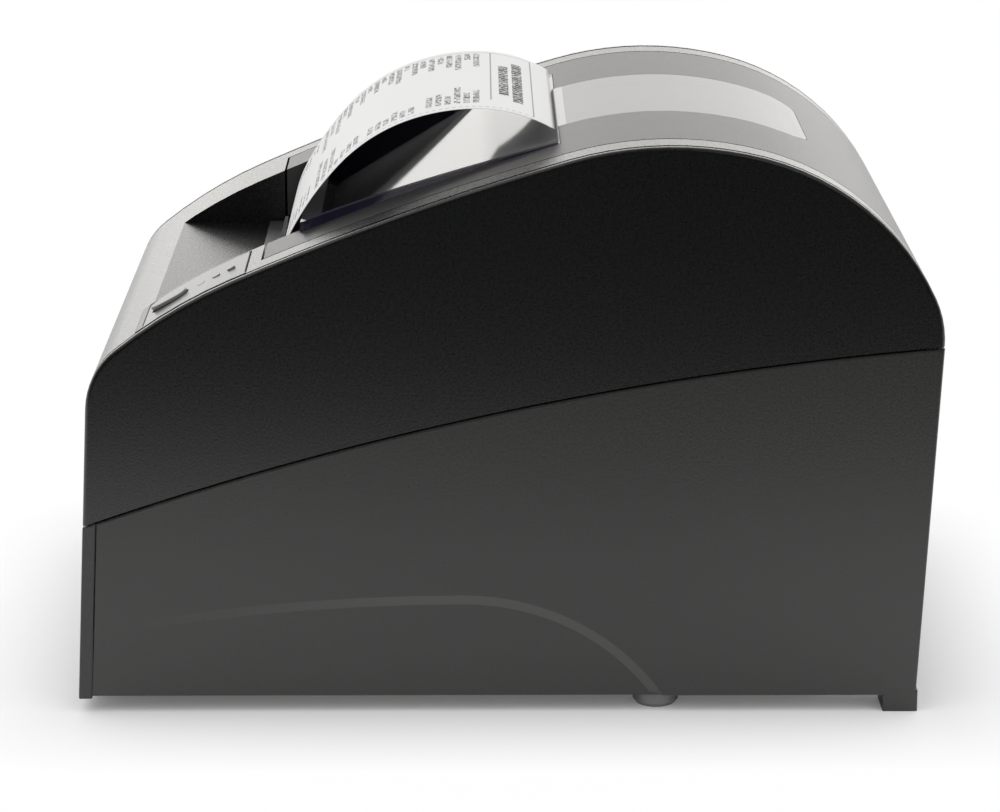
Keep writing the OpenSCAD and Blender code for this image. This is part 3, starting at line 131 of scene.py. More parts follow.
class Value:
    """A number in a node tree; sums on it add Math nodes."""

    def __init__(self, graph, socket):
        self.graph = graph
        self.socket = socket

    def math(self, operation, other=None, first=False):
        values = [self] if other is None else ([other, self] if first else [self, other])
        return self.graph.node("ShaderNodeMath", {"operation": operation}, dict(enumerate(values)))

    def __add__(self, other):
        return self.math("ADD", other)

    __radd__ = __add__

    def __mul__(self, other):
        return self.math("MULTIPLY", other)

    __rmul__ = __mul__

    def __sub__(self, other):
        return self.math("SUBTRACT", other)

    def __rsub__(self, other):
        return self.math("SUBTRACT", other, True)

    def __truediv__(self, other):
        return self.math("DIVIDE", other)

    def __rtruediv__(self, other):
        return self.math("DIVIDE", other, True)

    def __pow__(self, other):
        return self.math("POWER", other)

    def __gt__(self, other):
        return self.math("GREATER_THAN", other)

    def __lt__(self, other):
        return self.math("LESS_THAN", other)

    def wrap(self):
        return self.math("FRACT")

    def floor(self):
        return self.math("FLOOR")

    def size(self):
        return self.math("ABSOLUTE")

    def least(self, other):
        return self.math("MINIMUM", other)

    def most(self, other):
        return self.math("MAXIMUM", other)


def opaque(value):
    """A colour with its alpha of 1; links and plain numbers pass through"""
    return (*value, 1) if isinstance(value, tuple) and len(value) == 3 else value


class Graph:
    """A node tree; node() adds a node and hands back one of its outputs."""

    def __init__(self, tree):
        self.tree = tree

    def node(self, kind, settings=None, inputs=None, out=0):
        made = self.tree.nodes.new(kind)
        for key, value in (settings or {}).items():
            setattr(made, key, value)
        for key, value in (inputs or {}).items():
            if isinstance(value, Value):
                self.tree.links.new(value.socket, made.inputs[key])
            else:
                made.inputs[key].default_value = value
        return Value(self, made.outputs[out])

    def ramp(self, value, low, high, first=0.0, last=1.0):
        """Goes evenly from first to last as value goes from low to high"""
        return self.node("ShaderNodeMapRange", None, {0: value, 1: low, 2: high, 3: first, 4: last})

    def ray(self, kind):
        """1 where the surface or world is met by this kind of ray, and 0 elsewhere"""
        return self.node("ShaderNodeLightPath", out=f"Is {kind} Ray")

    def mix(self, amount, low, high):
        """A colour between two others"""
        colours = {0: amount, 6: opaque(low), 7: opaque(high)}
        return self.node("ShaderNodeMix", {"data_type": "RGBA"}, colours, 2)


class Finish(Graph):
    """A material and the sums that make it."""

    def __init__(self, name):
        self.material = bpy.data.materials.new(name)
        self.material.use_nodes = True
        super().__init__(self.material.node_tree)
        self.shader = next(n for n in self.tree.nodes if n.type == "BSDF_PRINCIPLED")
        MATERIALS[name] = self.material

    def set(self, **values):
        """Gives the shader's sockets their numbers, colours or links"""
        for key, value in values.items():
            socket = self.shader.inputs[key.replace("_", " ")]
            if isinstance(value, Value):
                self.tree.links.new(value.socket, socket)
            else:
                socket.default_value = opaque(value)

    def blend_white(self, amount):
        """Mixes the surface with plain white light"""
        white = self.node("ShaderNodeEmission", None, {"Strength": 1.0})
        shader = Value(self, self.shader.outputs[0])
        mixed = self.node("ShaderNodeMixShader", None, {0: amount, 1: shader, 2: white})
        output = next(n for n in self.tree.nodes if n.type == "OUTPUT_MATERIAL")
        self.tree.links.new(mixed.socket, output.inputs["Surface"])

    def place(self):
        return self.node("ShaderNodeTexCoord", out="Object")

    def axis(self, index, source=None):
        return self.node("ShaderNodeSeparateXYZ", None, {0: source or self.place()}, index)

    def noise(self, scale, detail=2.0, source=None):
        inputs = {"Vector": source or self.place(), "Scale": scale, "Detail": detail}
        return self.node("ShaderNodeTexNoise", None, inputs)

    def bump(self, height, strength, distance):
        inputs = {"Height": height, "Strength": strength, "Distance": distance}
        return self.node("ShaderNodeBump", None, inputs)


def shade(base, factor):
    """A lighter or darker tone of a colour"""
    return tuple(min(1.0, c * factor) for c in base)


# depths of the finest relief
GRAIN_DEPTH = 0.05 * MM
FIBRE_DEPTH = 0.04 * MM
TRACK_DEPTH = 0.03 * MM
SPECK_DEPTH = 0.02 * MM
ARCH_HIGHLIGHT_FADE = (-90 * MM, -25 * MM)        # where the painted highlight on the arch slope comes in, front to back
METAL_STREAK = (40.0, 900.0, 900.0)     # streaks run along the shafts


def grained(name, base, rough, grain, strength, level=0.4, arch=0.0):
    """Moulded plastic with a fine grain and faint unevenness; arch is how many times lighter its arch
    slope is painted, a painted highlight
    """
    f = Finish(name)
    fine = f.noise(0.8 / grain)
    broad = f.noise(9.0)
    tone = f.ramp(broad, 0.3, 0.7) * 0.4 + f.ramp(fine, 0.35, 0.65) * 0.6
    skin = f.mix(tone, shade(base, 0.8), shade(base, 1.2))
    if arch:
        # painted highlight: the faces of the arch slope are painted lighter, fading in from the front
        slope = f.node("ShaderNodeAttribute", {"attribute_name": "arch"}, out="Fac")
        skin = f.mix(slope * f.ramp(f.axis(1), *ARCH_HIGHLIGHT_FADE), skin, shade(base, arch))
    f.set(
        Base_Color=skin,
        Roughness=f.ramp(fine, 0.2, 0.8) * 0.1 + (rough - 0.05),
        Specular_IOR_Level=level,
        Normal=f.bump(fine, strength, GRAIN_DEPTH),
    )


def plain_plastic(name, base, rough, level=0.5):
    """Smooth moulded plastic with a barely uneven skin"""
    f = Finish(name)
    fine = f.noise(900.0)
    broad = f.noise(30.0)
    f.set(
        Base_Color=f.mix(f.ramp(broad, 0.3, 0.7), shade(base, 0.9), shade(base, 1.1)),
        Roughness=broad * 0.12 + (rough - 0.06),
        Specular_IOR_Level=level,
        Normal=f.bump(fine, 0.25, SPECK_DEPTH),
    )


def metal(name, base, rough):
    """Drawn or turned metal with fine streaks"""
    f = Finish(name)
    stretched = f.node("ShaderNodeMapping", None, {"Vector": f.place(), "Scale": METAL_STREAK})
    streaks = f.noise(1.0, 3.0, stretched)
    cloud = f.noise(60.0)
    f.set(
        Base_Color=f.mix(cloud, shade(base, 0.82), shade(base, 1.08)),
        Metallic=1.0,
        Roughness=streaks * 0.22 + cloud * 0.08 + (rough - 0.14),
        Normal=f.bump(streaks, 0.15, SPECK_DEPTH),
    )


# ---------------------------------------------------------------- modelling helpers


def deselect():
    bpy.ops.object.select_all(action="DESELECT")


def only(piece):
    deselect()
    piece.select_set(True)
    bpy.context.view_layer.objects.active = piece
    return piece


def editing(piece, mode="VERT"):
    """Puts a piece in edit mode and hands back its mesh"""
    only(piece)
    bpy.ops.object.mode_set(mode="EDIT")
    bpy.ops.mesh.select_mode(type=mode)
    return bmesh.from_edit_mesh(piece.data)


def done():
    bpy.ops.object.mode_set(mode="OBJECT")


def pick(piece, test, mode):
    """Selects the edges or corners for which test is true, and stays in edit mode"""
    mesh = editing(piece, mode)
    bpy.ops.mesh.select_all(action="DESELECT")
    chosen = [item for item in {"EDGE": mesh.edges, "VERT": mesh.verts}[mode] if test(item)]
    if not chosen:
        raise RuntimeError(f"nothing to pick on {piece.name}")
    for item in chosen:
        item.select = True
    mesh.select_flush_mode()
    bmesh.update_edit_mesh(piece.data)


def modify(piece, kind, **settings):
    """Adds a modifier and applies it"""
    only(piece)
    added = piece.modifiers.new(kind.lower(), kind)
    for key, value in settings.items():
        setattr(added, key, value)
    bpy.ops.object.modifier_apply(modifier=added.name)


def smooth(piece, degrees=32, weighted=False):
    """Smooth shading up to an angle; weighted keeps large flat faces flat"""
    only(piece)
    bpy.ops.object.shade_smooth_by_angle(angle=math.radians(degrees))
    if weighted:
        modify(piece, "WEIGHTED_NORMAL", mode="FACE_AREA", weight=80, keep_sharp=True)


MERGE = 0.004 * MM          # corners closer than this become one
FLAT = 0.15                 # degrees between faces that become one
SHARP = 38                  # degrees between faces whose edge is rounded
NEAR = 0.02 * MM            # how close a corner lies to a plane it belongs to


def from_frame(node, name):
    """A merged copy of a frame node, ready to be worked on"""
    only(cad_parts[node])
    bpy.ops.object.duplicate()
    piece = bpy.context.view_layer.objects.active
    piece.parent = None
    piece.name = name
    piece.data.name = name
    for key in list(piece.keys()):
        if key.startswith("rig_"):
            del piece[key]
    piece.hide_render = False
    editing(piece)
    bpy.ops.mesh.select_all(action="SELECT")
    bpy.ops.mesh.remove_doubles(threshold=MERGE)
    bpy.ops.mesh.customdata_custom_splitnormals_clear()
    bpy.ops.mesh.dissolve_limited(angle_limit=math.radians(FLAT))
    bpy.ops.mesh.normals_make_consistent(inside=False)
    done()
    return piece


def rounded(piece, radius, segments):
    """Rounds the sharp edges of a piece"""
    modify(
        piece, "BEVEL", width=radius, segments=segments, limit_method="ANGLE",
        angle_limit=math.radians(SHARP), harden_normals=False, use_clamp_overlap=True,
        miter_outer="MITER_ARC",
    )


def finish_piece(piece, body, slot, material, *replaced):
    """Gives a piece its finish and its body, and takes the place of the nodes it stands for; slot is not
    used
    """
    piece.data.materials.clear()
    piece.data.materials.append(MATERIALS[material])
    for face in piece.data.polygons:
        face.material_index = 0
    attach(piece, body)
    if replaced:
        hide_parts(*replaced)
    return piece


# ---------------------------------------------------------------- operators

CAMERA_AT = (0.8356, -0.0063, 0.2926)
CAMERA_DOWN = 15.77                     # degrees below level
CAMERA_TURN = 0.37                      # degrees towards the back of the printer
CAMERA_LENS = 122.4
CAMERA_SENSOR = 36
# place, size, power and aim of each softbox; the first stands low beyond the far side
LAMPS = [
    ((-2.6, 0.0, 0.5), (3.6, 1.0), 14.5, (0, 0, 0.1)),
    ((-1.6, 0.1, 1.3), (2.6, 1.0), 4.5, (0, 0, 0.1)),
    ((0.2, -1.0, 1.7), (1.6, 1.4), 4, (0, 0, 0.1)),
    ((0.9, 1.0, 1.5), (1.4, 1.2), 3, (0, 0, 0.08)),
]
FLOOR_SIZE = 8
FLOOR_WHITE = (0.98, 0.98, 0.98)
PAINTED_DARK_REFLECTION = (0.01, 0.01, 0.01)         # painted dark reflection: what glossy faces see of the floor towards the near side
PAINTED_REFLECTION_FALL = (0.25, 0.295)              # distances towards the near side over which the painted dark reflection comes in
SHADOW_REACH = (0.0, 0.038)             # distances from the printer over which the seen floor turns white
SHADOW_FADE = (0.1, 0.98)               # share of white at each of them
WORLD_LEVEL = 0.84
WORLD_TURN = (-0.3, 0.35)               # across the printer, from the far side to the near side
WORLD_MIRROR = (1.0, 0.02)              # what glossy faces show of each side
WORLD_RISE = (0.03, 0.4)                # upwards
WORLD_HIGH = 0.37                       # share of the mirrored light that is left high up
WORLD_WARM = (1.0, 0.965, 0.9)


class PRINTER_OT_stage(bpy.types.Operator):
    """Floor, lamps, world and camera"""

    bl_idname = "printer.stage"
    bl_label = "Stage"

    def execute(self, context):
        scene = context.scene
        scene.view_settings.view_transform = "Standard"
        self.add_floor(context)
        self.add_lamps(scene)
        self.add_world(scene)
        self.add_camera(scene)
        return {"FINISHED"}

    def add_floor(self, context):
        deselect()
        bpy.ops.mesh.primitive_plane_add(size=FLOOR_SIZE, location=(0, 0, 0))
        floor = context.object
        floor.name = "floor"
        f = Finish("floor_white")
        # the table is bright round the printer; towards the near side its colour is painted dark for
        # glossy rays only, a painted dark reflection
        fall = f.ramp(f.axis(0), *PAINTED_REFLECTION_FALL) * f.ray("Glossy")
        f.set(Base_Color=f.mix(fall, FLOOR_WHITE, PAINTED_DARK_REFLECTION), Roughness=0.9, Specular_IOR_Level=0.0)
        # away from the printer the camera sees plain white; close to it the shadow stays
        high = cad_box[1]
        ahead, aside = ((f.axis(i).size() - high[i]).most(0.0) for i in (0, 1))
        away = f.ramp((ahead * ahead + aside * aside) ** 0.5, *SHADOW_REACH, *SHADOW_FADE)
        f.blend_white(away * f.ray("Camera"))
        floor.data.materials.append(f.material)

    def add_lamps(self, scene):
        for place, size, power, aim in LAMPS:
            lamp = bpy.data.lights.new("softbox", "AREA")
            lamp.shape = "RECTANGLE"
            lamp.size, lamp.size_y = size
            lamp.energy = power
            holder = bpy.data.objects.new("softbox", lamp)
            scene.collection.objects.link(holder)
            holder.location = place
            holder.rotation_euler = (Vector(aim) - Vector(place)).to_track_quat("-Z", "Y").to_euler()
            holder.visible_camera = False

    def add_world(self, scene):
        """Level light for matt surfaces; glossy ones see it fall from the far side to the near side"""
        world = bpy.data.worlds.new("studio")
        scene.world = world
        world.use_nodes = True
        g = Graph(world.node_tree)
        camera_ray, glossy_ray, clear_ray = (g.ray(kind) for kind in ("Camera", "Glossy", "Transmission"))
        way = g.node("ShaderNodeTexCoord", out="Generated")
        across, up = (g.node("ShaderNodeSeparateXYZ", None, {0: way}, i) for i in (0, 2))
        sideways = g.ramp(across, *WORLD_TURN, *WORLD_MIRROR)
        mirrored = sideways * g.ramp(up, *WORLD_RISE, 1.0, WORLD_HIGH)
        behind = camera_ray.most(clear_ray) * (1 - WORLD_LEVEL)
        level = WORLD_LEVEL + glossy_ray * (mirrored - WORLD_LEVEL) + behind
        warm = g.mix(glossy_ray, (1, 1, 1), WORLD_WARM)
        background = g.tree.nodes["Background"]
        g.tree.links.new(level.socket, background.inputs["Strength"])
        g.tree.links.new(warm.socket, background.inputs["Color"])

    def add_camera(self, scene):
        camera = bpy.data.cameras.new("camera")
        camera.lens = CAMERA_LENS
        camera.sensor_width = CAMERA_SENSOR
        camera.sensor_fit = "HORIZONTAL"
        camera.clip_start = 0.01
        holder = bpy.data.objects.new("camera", camera)
        scene.collection.objects.link(holder)
        down, turn = math.radians(CAMERA_DOWN), math.radians(CAMERA_TURN)
        level = Vector((-math.cos(turn), math.sin(turn), 0)) * math.cos(down)
        look = level - Vector((0, 0, math.sin(down)))
        holder.location = CAMERA_AT
        holder.rotation_euler = look.to_track_quat("-Z", "Y").to_euler()
        scene.camera = holder


class PRINTER_OT_finishes(bpy.types.Operator):
    """Makes the finishes and puts them on the pieces that the frame holds"""

    bl_idname = "printer.finishes"
    bl_label = "Finishes"

    def execute(self, context):
        c = context.scene.printer_colours
        s = context.scene.printer_sizes
        grained("upper_grain", tuple(c.upper), 0.28, s.grain, strength=0.36, level=0.85)
        # arch=2.3 paints the arch slope 2.3 times lighter, a painted highlight
        grained("lower_grain", tuple(c.lower), 0.32, s.grain, strength=0.45, level=0.75, arch=2.3)
        grained("panel_grain", tuple(c.panel), 0.45, s.grain, strength=0.3)
        grained("lid_satin", tuple(c.lid), 0.36, s.grain * 0.7, strength=0.25)
        plain_plastic("black_plastic", (0.02, 0.02, 0.021), 0.42)
        plain_plastic("dark_plastic", (0.06, 0.06, 0.065), 0.5)
        plain_plastic("white_plastic", (0.72, 0.70, 0.62), 0.4)
        plain_plastic("ceramic", (0.72, 0.71, 0.67), 0.25)
        plain_plastic("rubber", tuple(c.rubber), 0.55, 0.3)
        plain_plastic("foot", (0.16, 0.16, 0.165), 0.22, 0.7)
        plain_plastic("button", tuple(c.button), 0.3)
        plain_plastic("cable_film", (0.66, 0.63, 0.55), 0.25)
        metal("steel", (0.60, 0.60, 0.61), 0.3)
        metal("aluminium", (0.66, 0.67, 0.69), 0.35)
        metal("brass", (0.70, 0.52, 0.24), 0.3)
        self.paper(tuple(c.paper))
        self.board(tuple(c.board))
        self.card()
        for material, nodes in CARRIED.items():
            for node in nodes:
                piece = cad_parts[node]
                piece.data.materials.clear()
                piece.data.materials.append(MATERIALS[material])
        return {"FINISHED"}

    def paper(self, base):
        """Roll of paper, with fine rings on its ends, and the plain paper that leaves it"""
        f = Finish("paper_roll")
        low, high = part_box("paper_roll")
        middle = (low + high) / 2
        y, z = f.axis(1) - middle.y, f.axis(2) - middle.z
        radius = (y * y + z * z) ** 0.5
        rings = f.noise(1.0, source=f.node("ShaderNodeCombineXYZ", None, {0: radius * 9000.0}))
        f.set(
            Base_Color=f.mix(rings, shade(base, 0.86), base), Roughness=0.7, Specular_IOR_Level=0.25,
            Normal=f.bump(rings, 0.4, FIBRE_DEPTH),
        )
        f = Finish("paper_web")
        plain = f.mix(f.noise(40.0), shade(base, 0.95), base)
        f.set(Base_Color=plain, Roughness=0.6, Specular_IOR_Level=0.3)

    def board(self, base):
        """Lacquered board with the faint pattern of its tracks"""
        f = Finish("circuit_board")
        pattern = {"Scale": 220.0, "Mortar Size": 0.03, "Brick Width": 1.7, "Row Height": 0.35}
        inputs = {"Vector": f.place(), **pattern}
        tracks = f.node("ShaderNodeTexBrick", {"offset": 0.37, "squash": 1.0}, inputs, "Fac")
        f.set(
            Base_Color=f.mix(tracks, shade(base, 0.8), shade(base, 1.9)), Roughness=0.28,
            Normal=f.bump(tracks, 0.2, TRACK_DEPTH),
        )

    def card(self):
        """Brown card of the core, wound at a slant"""
        f = Finish("card")
        turns = f.node(
            "ShaderNodeTexWave", {"wave_type": "BANDS", "bands_direction": "DIAGONAL"},
            {"Vector": f.place(), "Scale": 90.0, "Distortion": 2.0}, "Fac")
        f.set(
            Base_Color=f.mix(turns, (0.36, 0.24, 0.13), (0.46, 0.32, 0.18)), Roughness=0.85,
            Specular_IOR_Level=0.2, Normal=f.bump(f.noise(500.0), 0.3, GRAIN_DEPTH),
        )


CARRIED = {
    "black_plastic": ["tact_switch", "mech_frame", "platen_carrier", "paper_sensor", "board_parts",
                      "power_inlet", "drawer_socket", "switch_body"],
    "dark_plastic": ["paper_bucket"],
    "white_plastic": ["platen_gear", "platen_bushes", "idler_gear"],
    "ceramic": ["print_head"],
    "rubber": ["platen_rubber"],
    "foot": ["rubber_feet"],
    "film": ["control_overlay", "feed_button", "led_lenses"],
    "button": ["switch_rocker"],
    "cable_film": ["head_flex"],
    "steel": ["case_screws", "hinge_pin", "platen_shaft", "carrier_screws", "mech_screws", "pivot_pin",
              "head_springs", "catch_lever", "catch_springs", "motor_shaft", "idler_post", "tear_bar",
              "bucket_screws", "board_screws", "usb_socket", "serial_socket", "jackscrews"],
    "aluminium": ["head_heatsink", "step_motor"],
    "brass": ["motor_pinion"],
    "paper_roll": ["paper_roll"],
    "paper_web": ["paper_web", "receipt"],
    "card": ["roll_core"],
    "circuit_board": ["main_board", "panel_board"],
    "upper_grain": ["upper_case"],
    "lower_grain": ["lower_case"],
    "panel_grain": ["front_panel"],
    "lid_satin": ["lid_cover"],
    "smoked": ["lid_window"],
}


BAND_START = 15 * MM                    # where the flush band over the roll begins
WINDOW_RIM = 2.5 * MM                   # width of the darker rim along the sides of the window
WINDOW_FRONT = 5.1 * MM                 # and along its front
FILM_FRONT = 1.5 * MM                   # from the front of the overlay to the film's dark line
FILM_SIDE = 1.2 * MM                    # from its near side
FILM_LINE = 0.35 * MM
FILM_CORNER = 3 * MM
FILM_BLACK = (0.004, 0.004, 0.004)


class PRINTER_OT_clear_parts(bpy.types.Operator):
    """Finishes of the smoked window and of the control panel's film"""

    bl_idname = "printer.clear_parts"
    bl_label = "Clear parts"

    def execute(self, context):
        c = context.scene.printer_colours
        self.window(tuple(c.smoked), tuple(c.band))
        self.film(tuple(c.film))
        return {"FINISHED"}

    def window(self, tray, clear):
        """Smoked tray with a dark rim, and a paler satin band over the roll; inside the rim the band's
        tint, and the still paler tray floor in front of it, are partly a painted reflection
        """
        f = Finish("smoked")
        low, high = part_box("lid_window")
        band = f.axis(1) > BAND_START
        inner = (f.axis(0).size() < high.x - WINDOW_RIM) * (f.axis(1) > low.y + WINDOW_FRONT)
        rim = f.mix(f.noise(20.0), shade(tray, 0.9), shade(tray, 1.1))
        # inside the rim the colour is painted pale, partly a painted reflection; the tray floor in front
        # of the band is painted paler still
        f.set(
            Base_Color=f.mix(inner, rim, f.mix(band, shade(clear, 1.1), clear)),
            Roughness=band * 0.2 + 0.06, Alpha=0.8 + inner * 0.07, Specular_IOR_Level=0.5,
        )

    def film(self, base):
        """Printed film with a dark line round it that turns a rounded corner"""
        f = Finish("film")
        low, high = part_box("control_overlay")
        low, high = low + Vector((0, FILM_FRONT, 0)), high - Vector((FILM_SIDE, 0, 0))
        x, y = f.axis(0), f.axis(1)
        inset = (x - low.x).least((y - low.y).least(high.y - y))
        beyond = (inset < 0.0).most(x > high.x)
        dx = ((low.x + FILM_CORNER) - x).most(0.0)
        dy = ((low.y + FILM_CORNER) - y).most(0.0)
        past_corner = (dx * dx + dy * dy) ** 0.5 - (FILM_CORNER - FILM_LINE)
        line = (inset < FILM_LINE).most(past_corner > 0.0)
        plain = f.mix(f.noise(30.0), shade(base, 0.93), shade(base, 1.07))
        f.set(
            Base_Color=f.mix(line, plain, FILM_BLACK),
            Roughness=line * (1.0 - beyond) * 0.4 + 0.32, Specular_IOR_Level=0.5,
            Normal=f.bump(f.noise(1400.0), 0.2, SPECK_DEPTH),
        )


# what is hidden inside the lower case and its socket bay: further in than this from the sides,
# higher than this, and within this reach from front to back
INSIDE_WALL = 3.9 * MM
INSIDE_FLOOR = 5 * MM
INSIDE_REACH = (-96 * MM, 86 * MM)


def outside(edge):
    """Sharp edges of the lower case that can be seen: not those of its inside and of the socket bay"""
    if len(edge.link_faces) != 2 or edge.calc_face_angle(0) < math.radians(SHARP):
        return False
    front, back = INSIDE_REACH
    return not all(
        abs(v.co.x) < HALF_W - INSIDE_WALL and v.co.z > INSIDE_FLOOR and front < v.co.y < back
        for v in edge.verts
    )


def side_edge(edge):
    """Edges where a side of the case turns into its top, front or back"""
    if min(abs(v.co.x) for v in edge.verts) < HALF_W - NEAR or len(edge.link_faces) != 2:
        return False
    turned = [f for f in edge.link_faces if abs(f.normal.x) < 0.3]
    return len(turned) == 1 and turned[0].normal.z > -0.3


GROOVE_INNER = 2.7 * MM                 # from the side to the inner wall of the groove
SIDE_SEGMENTS = 5
LOWER_EDGE = 0.45                       # share of the case edge that the lower shell and the panel get
# the raised arch, in mm: its crown from the front and from the floor, the radius behind the crown, how
# far its step reaches down as a slope, and how far the step stands back from the side
ARCH_CROWN = (92.69, 29.6)
ARCH_RADIUS = 57.7
ARCH_SLOPE = 2.4
ARCH_DEPTH = 0.5


class PRINTER_OT_shells(bpy.types.Operator):
    """The two case halves, front panel and lid, with rounded edges"""

    bl_idname = "printer.shells"
    bl_label = "Shells"

    def execute(self, context):
        s = context.scene.printer_sizes
        for node, body, slot, material, radius, segments in (
            ("upper_case", "base", "case_black", "upper_grain", s.seam_edge, 2),
            ("lower_case", "base", "case_grey", "lower_grain", s.seam_edge, 2),
            ("front_panel", "base", "panel_grey", "panel_grain", s.seam_edge * 1.6, 3),
            ("lid_cover", "lid", "lid_black", "lid_satin", s.lid_edge, 2),
            ("lid_window", "lid", "smoked_clear", "smoked", s.tray_edge, 2),
        ):
            piece = from_frame(node, node + "_skin")
            if node == "upper_case":
                self.open_groove(piece, s.groove)
                self.round_sides(piece, s.edge)
            if node == "lower_case":
                self.soften_arch(piece)
            if node in ("lower_case", "front_panel"):
                self.round_sides(piece, s.edge * LOWER_EDGE)
            if node == "lower_case":
                pick(piece, outside, "EDGE")
                bpy.ops.mesh.bevel(offset=radius, offset_type="OFFSET", segments=segments, affect="EDGES",
                                   clamp_overlap=True, miter_outer="ARC")
                done()
            else:
                rounded(piece, radius, segments)
            smooth(piece, weighted=True)
            if node == "lower_case":
                self.mark_arch(piece)
            finish_piece(piece, body, slot, material, node)
        return {"FINISHED"}

    def round_sides(self, piece, width):
        """Rounds the edges along both sides"""
        pick(piece, side_edge, "EDGE")
        bpy.ops.mesh.bevel(offset=width, offset_type="OFFSET", segments=SIDE_SEGMENTS, affect="EDGES",
                           clamp_overlap=False, profile=0.5)
        done()

    def open_groove(self, piece, wider):
        """Widens the groove beside the sides, so that it reads as a dark line"""
        for side in (-1, 1):
            at = (HALF_W - GROOVE_INNER) * side
            pick(piece, lambda v: abs(v.co.x - at) < NEAR, "VERT")
            bpy.ops.transform.translate(value=(-side * wider, 0, 0))
            done()

    def soften_arch(self, piece):
        """Turns the step under the raised arch into a shallow slope"""
        low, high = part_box("lower_case")
        crown_y, crown_z = low.y + ARCH_CROWN[0] * MM, ARCH_CROWN[1] * MM
        deep = high.x - ARCH_DEPTH * MM
        stepped = lambda v: abs(abs(v.co.x) - deep) < 0.05 * MM and v.co.z > 5.5 * MM
        front = lambda v: v.co.y <= crown_y + 0.1 * MM
        pick(piece, lambda v: stepped(v) and front(v), "VERT")
        bpy.ops.transform.translate(value=(0, 0, -ARCH_SLOPE * MM))
        done()
        # behind the crown the arch is round, so its step closes in on the arc's centre
        share = (ARCH_RADIUS - ARCH_SLOPE) / ARCH_RADIUS
        pick(piece, lambda v: stepped(v) and not front(v), "VERT")
        bpy.ops.transform.resize(
            value=(1, share, share), center_override=(0, crown_y, crown_z - ARCH_RADIUS * MM))
        done()

    def mark_arch(self, piece):
        """Stores which faces form the slope of the arch"""
        deep = HALF_W - ARCH_DEPTH * MM - NEAR
        marks = []
        for face in piece.data.polygons:
            corners = [piece.data.vertices[i].co for i in face.vertices]
            inside = all(abs(c.x) > deep and 3.5 * MM < c.z < 31 * MM for c in corners)
            marks.append(1.0 if inside and 0.9 < abs(face.normal.x) < 0.995 else 0.0)
        stored = piece.data.attributes.new("arch", "FLOAT", "FACE")
        stored.data.foreach_set("value", marks)


# springs, the joint that shortens them, and the share of their length that is left at its limit
SPRINGS = [("head_springs", "head_pivot", 0.85), ("catch_springs", "catch_pivot", 0.55)]


class PRINTER_OT_small_parts(bpy.types.Operator):
    """The feed button with a rounded rim, and smooth copies of the springs under the head and the catch
    """

    bl_idname = "printer.small_parts"
    bl_label = "Button and springs"

    def execute(self, context):
        button = from_frame("feed_button", "feed_button_cap")
        rounded(button, context.scene.printer_sizes.button_edge, 4)
        smooth(button, weighted=True)
        finish_piece(button, "button", "button", "film", "feed_button")
        for node, joint, keep in SPRINGS:
            coils = from_frame(node, node + "_coils")
            smooth(coils)
            finish_piece(coils, "base", "steel", "steel", node)
            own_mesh(coils)
        return {"FINISHED"}


CURL = [(31, 28), (75, 15), (42, 27), (49, 20), (36.4, 30)]      # radius in mm and turn of each arc
ARC_STEPS = 8
SLOT_STEPS = 3                          # pieces of the straight rise out of the slot
STRIP_HALF = 0.125 * MM                 # half the thickness of the strip in the frame
TOOTH_PITCH = 2.6 * MM
# The marks are placed in mm: v from the torn end, u from the near side.
# start, end and pitch of the rows; near and far columns with their shortest length and its spread; fill
PRINT_BLOCKS = [
    (18.0, 34.0, 2.3, 7.0, (4.0, 18.0), 75.0, (7.0, 17.0), 0.68),
    (34.0, 58.0, 2.2, 6.0, (4.0, 7.0), 76.0, (5.0, 17.0), 0.7),
    (58.0, 66.0, 2.7, 6.0, (14.0, 16.0), 76.0, (14.0, 14.0), 0.6),
    (68.0, 79.0, 1.9, 7.0, (10.0, 9.0), 74.0, (4.0, 8.0), 0.45),
    (88.0, 97.0, 2.2, 6.0, (0.0, 0.5), 77.0, (4.0, 9.0), 0.6),
]
ROW_SEED = 1.37
ROW_START = 0.16                        # share of a row's pitch above its marks
# start and end along v, then along u
HEADING = [(7.6, 10.2, 14.0, 66.0), (11.2, 13.6, 20.0, 60.0)]
RULES = [(4.9, 5.25, 2.6, 77.0), (15.4, 15.75, 12.0, 77.0)]
NEAR_RULE = (5.0, 62.0, 2.4, 2.9)
FAR_RULE = (5.0, 90.0, 76.6, 77.0)
SPECK = (0.42, 0.5)                     # size of one speck of a mark
# pitch of the signs and the share of it that is marked
SIGNS = (1.9, 0.74)
BOLD_SIGNS = (2.6, 0.86)
DASHES = (1.6, 0.6)
RULE_TONE = 0.6


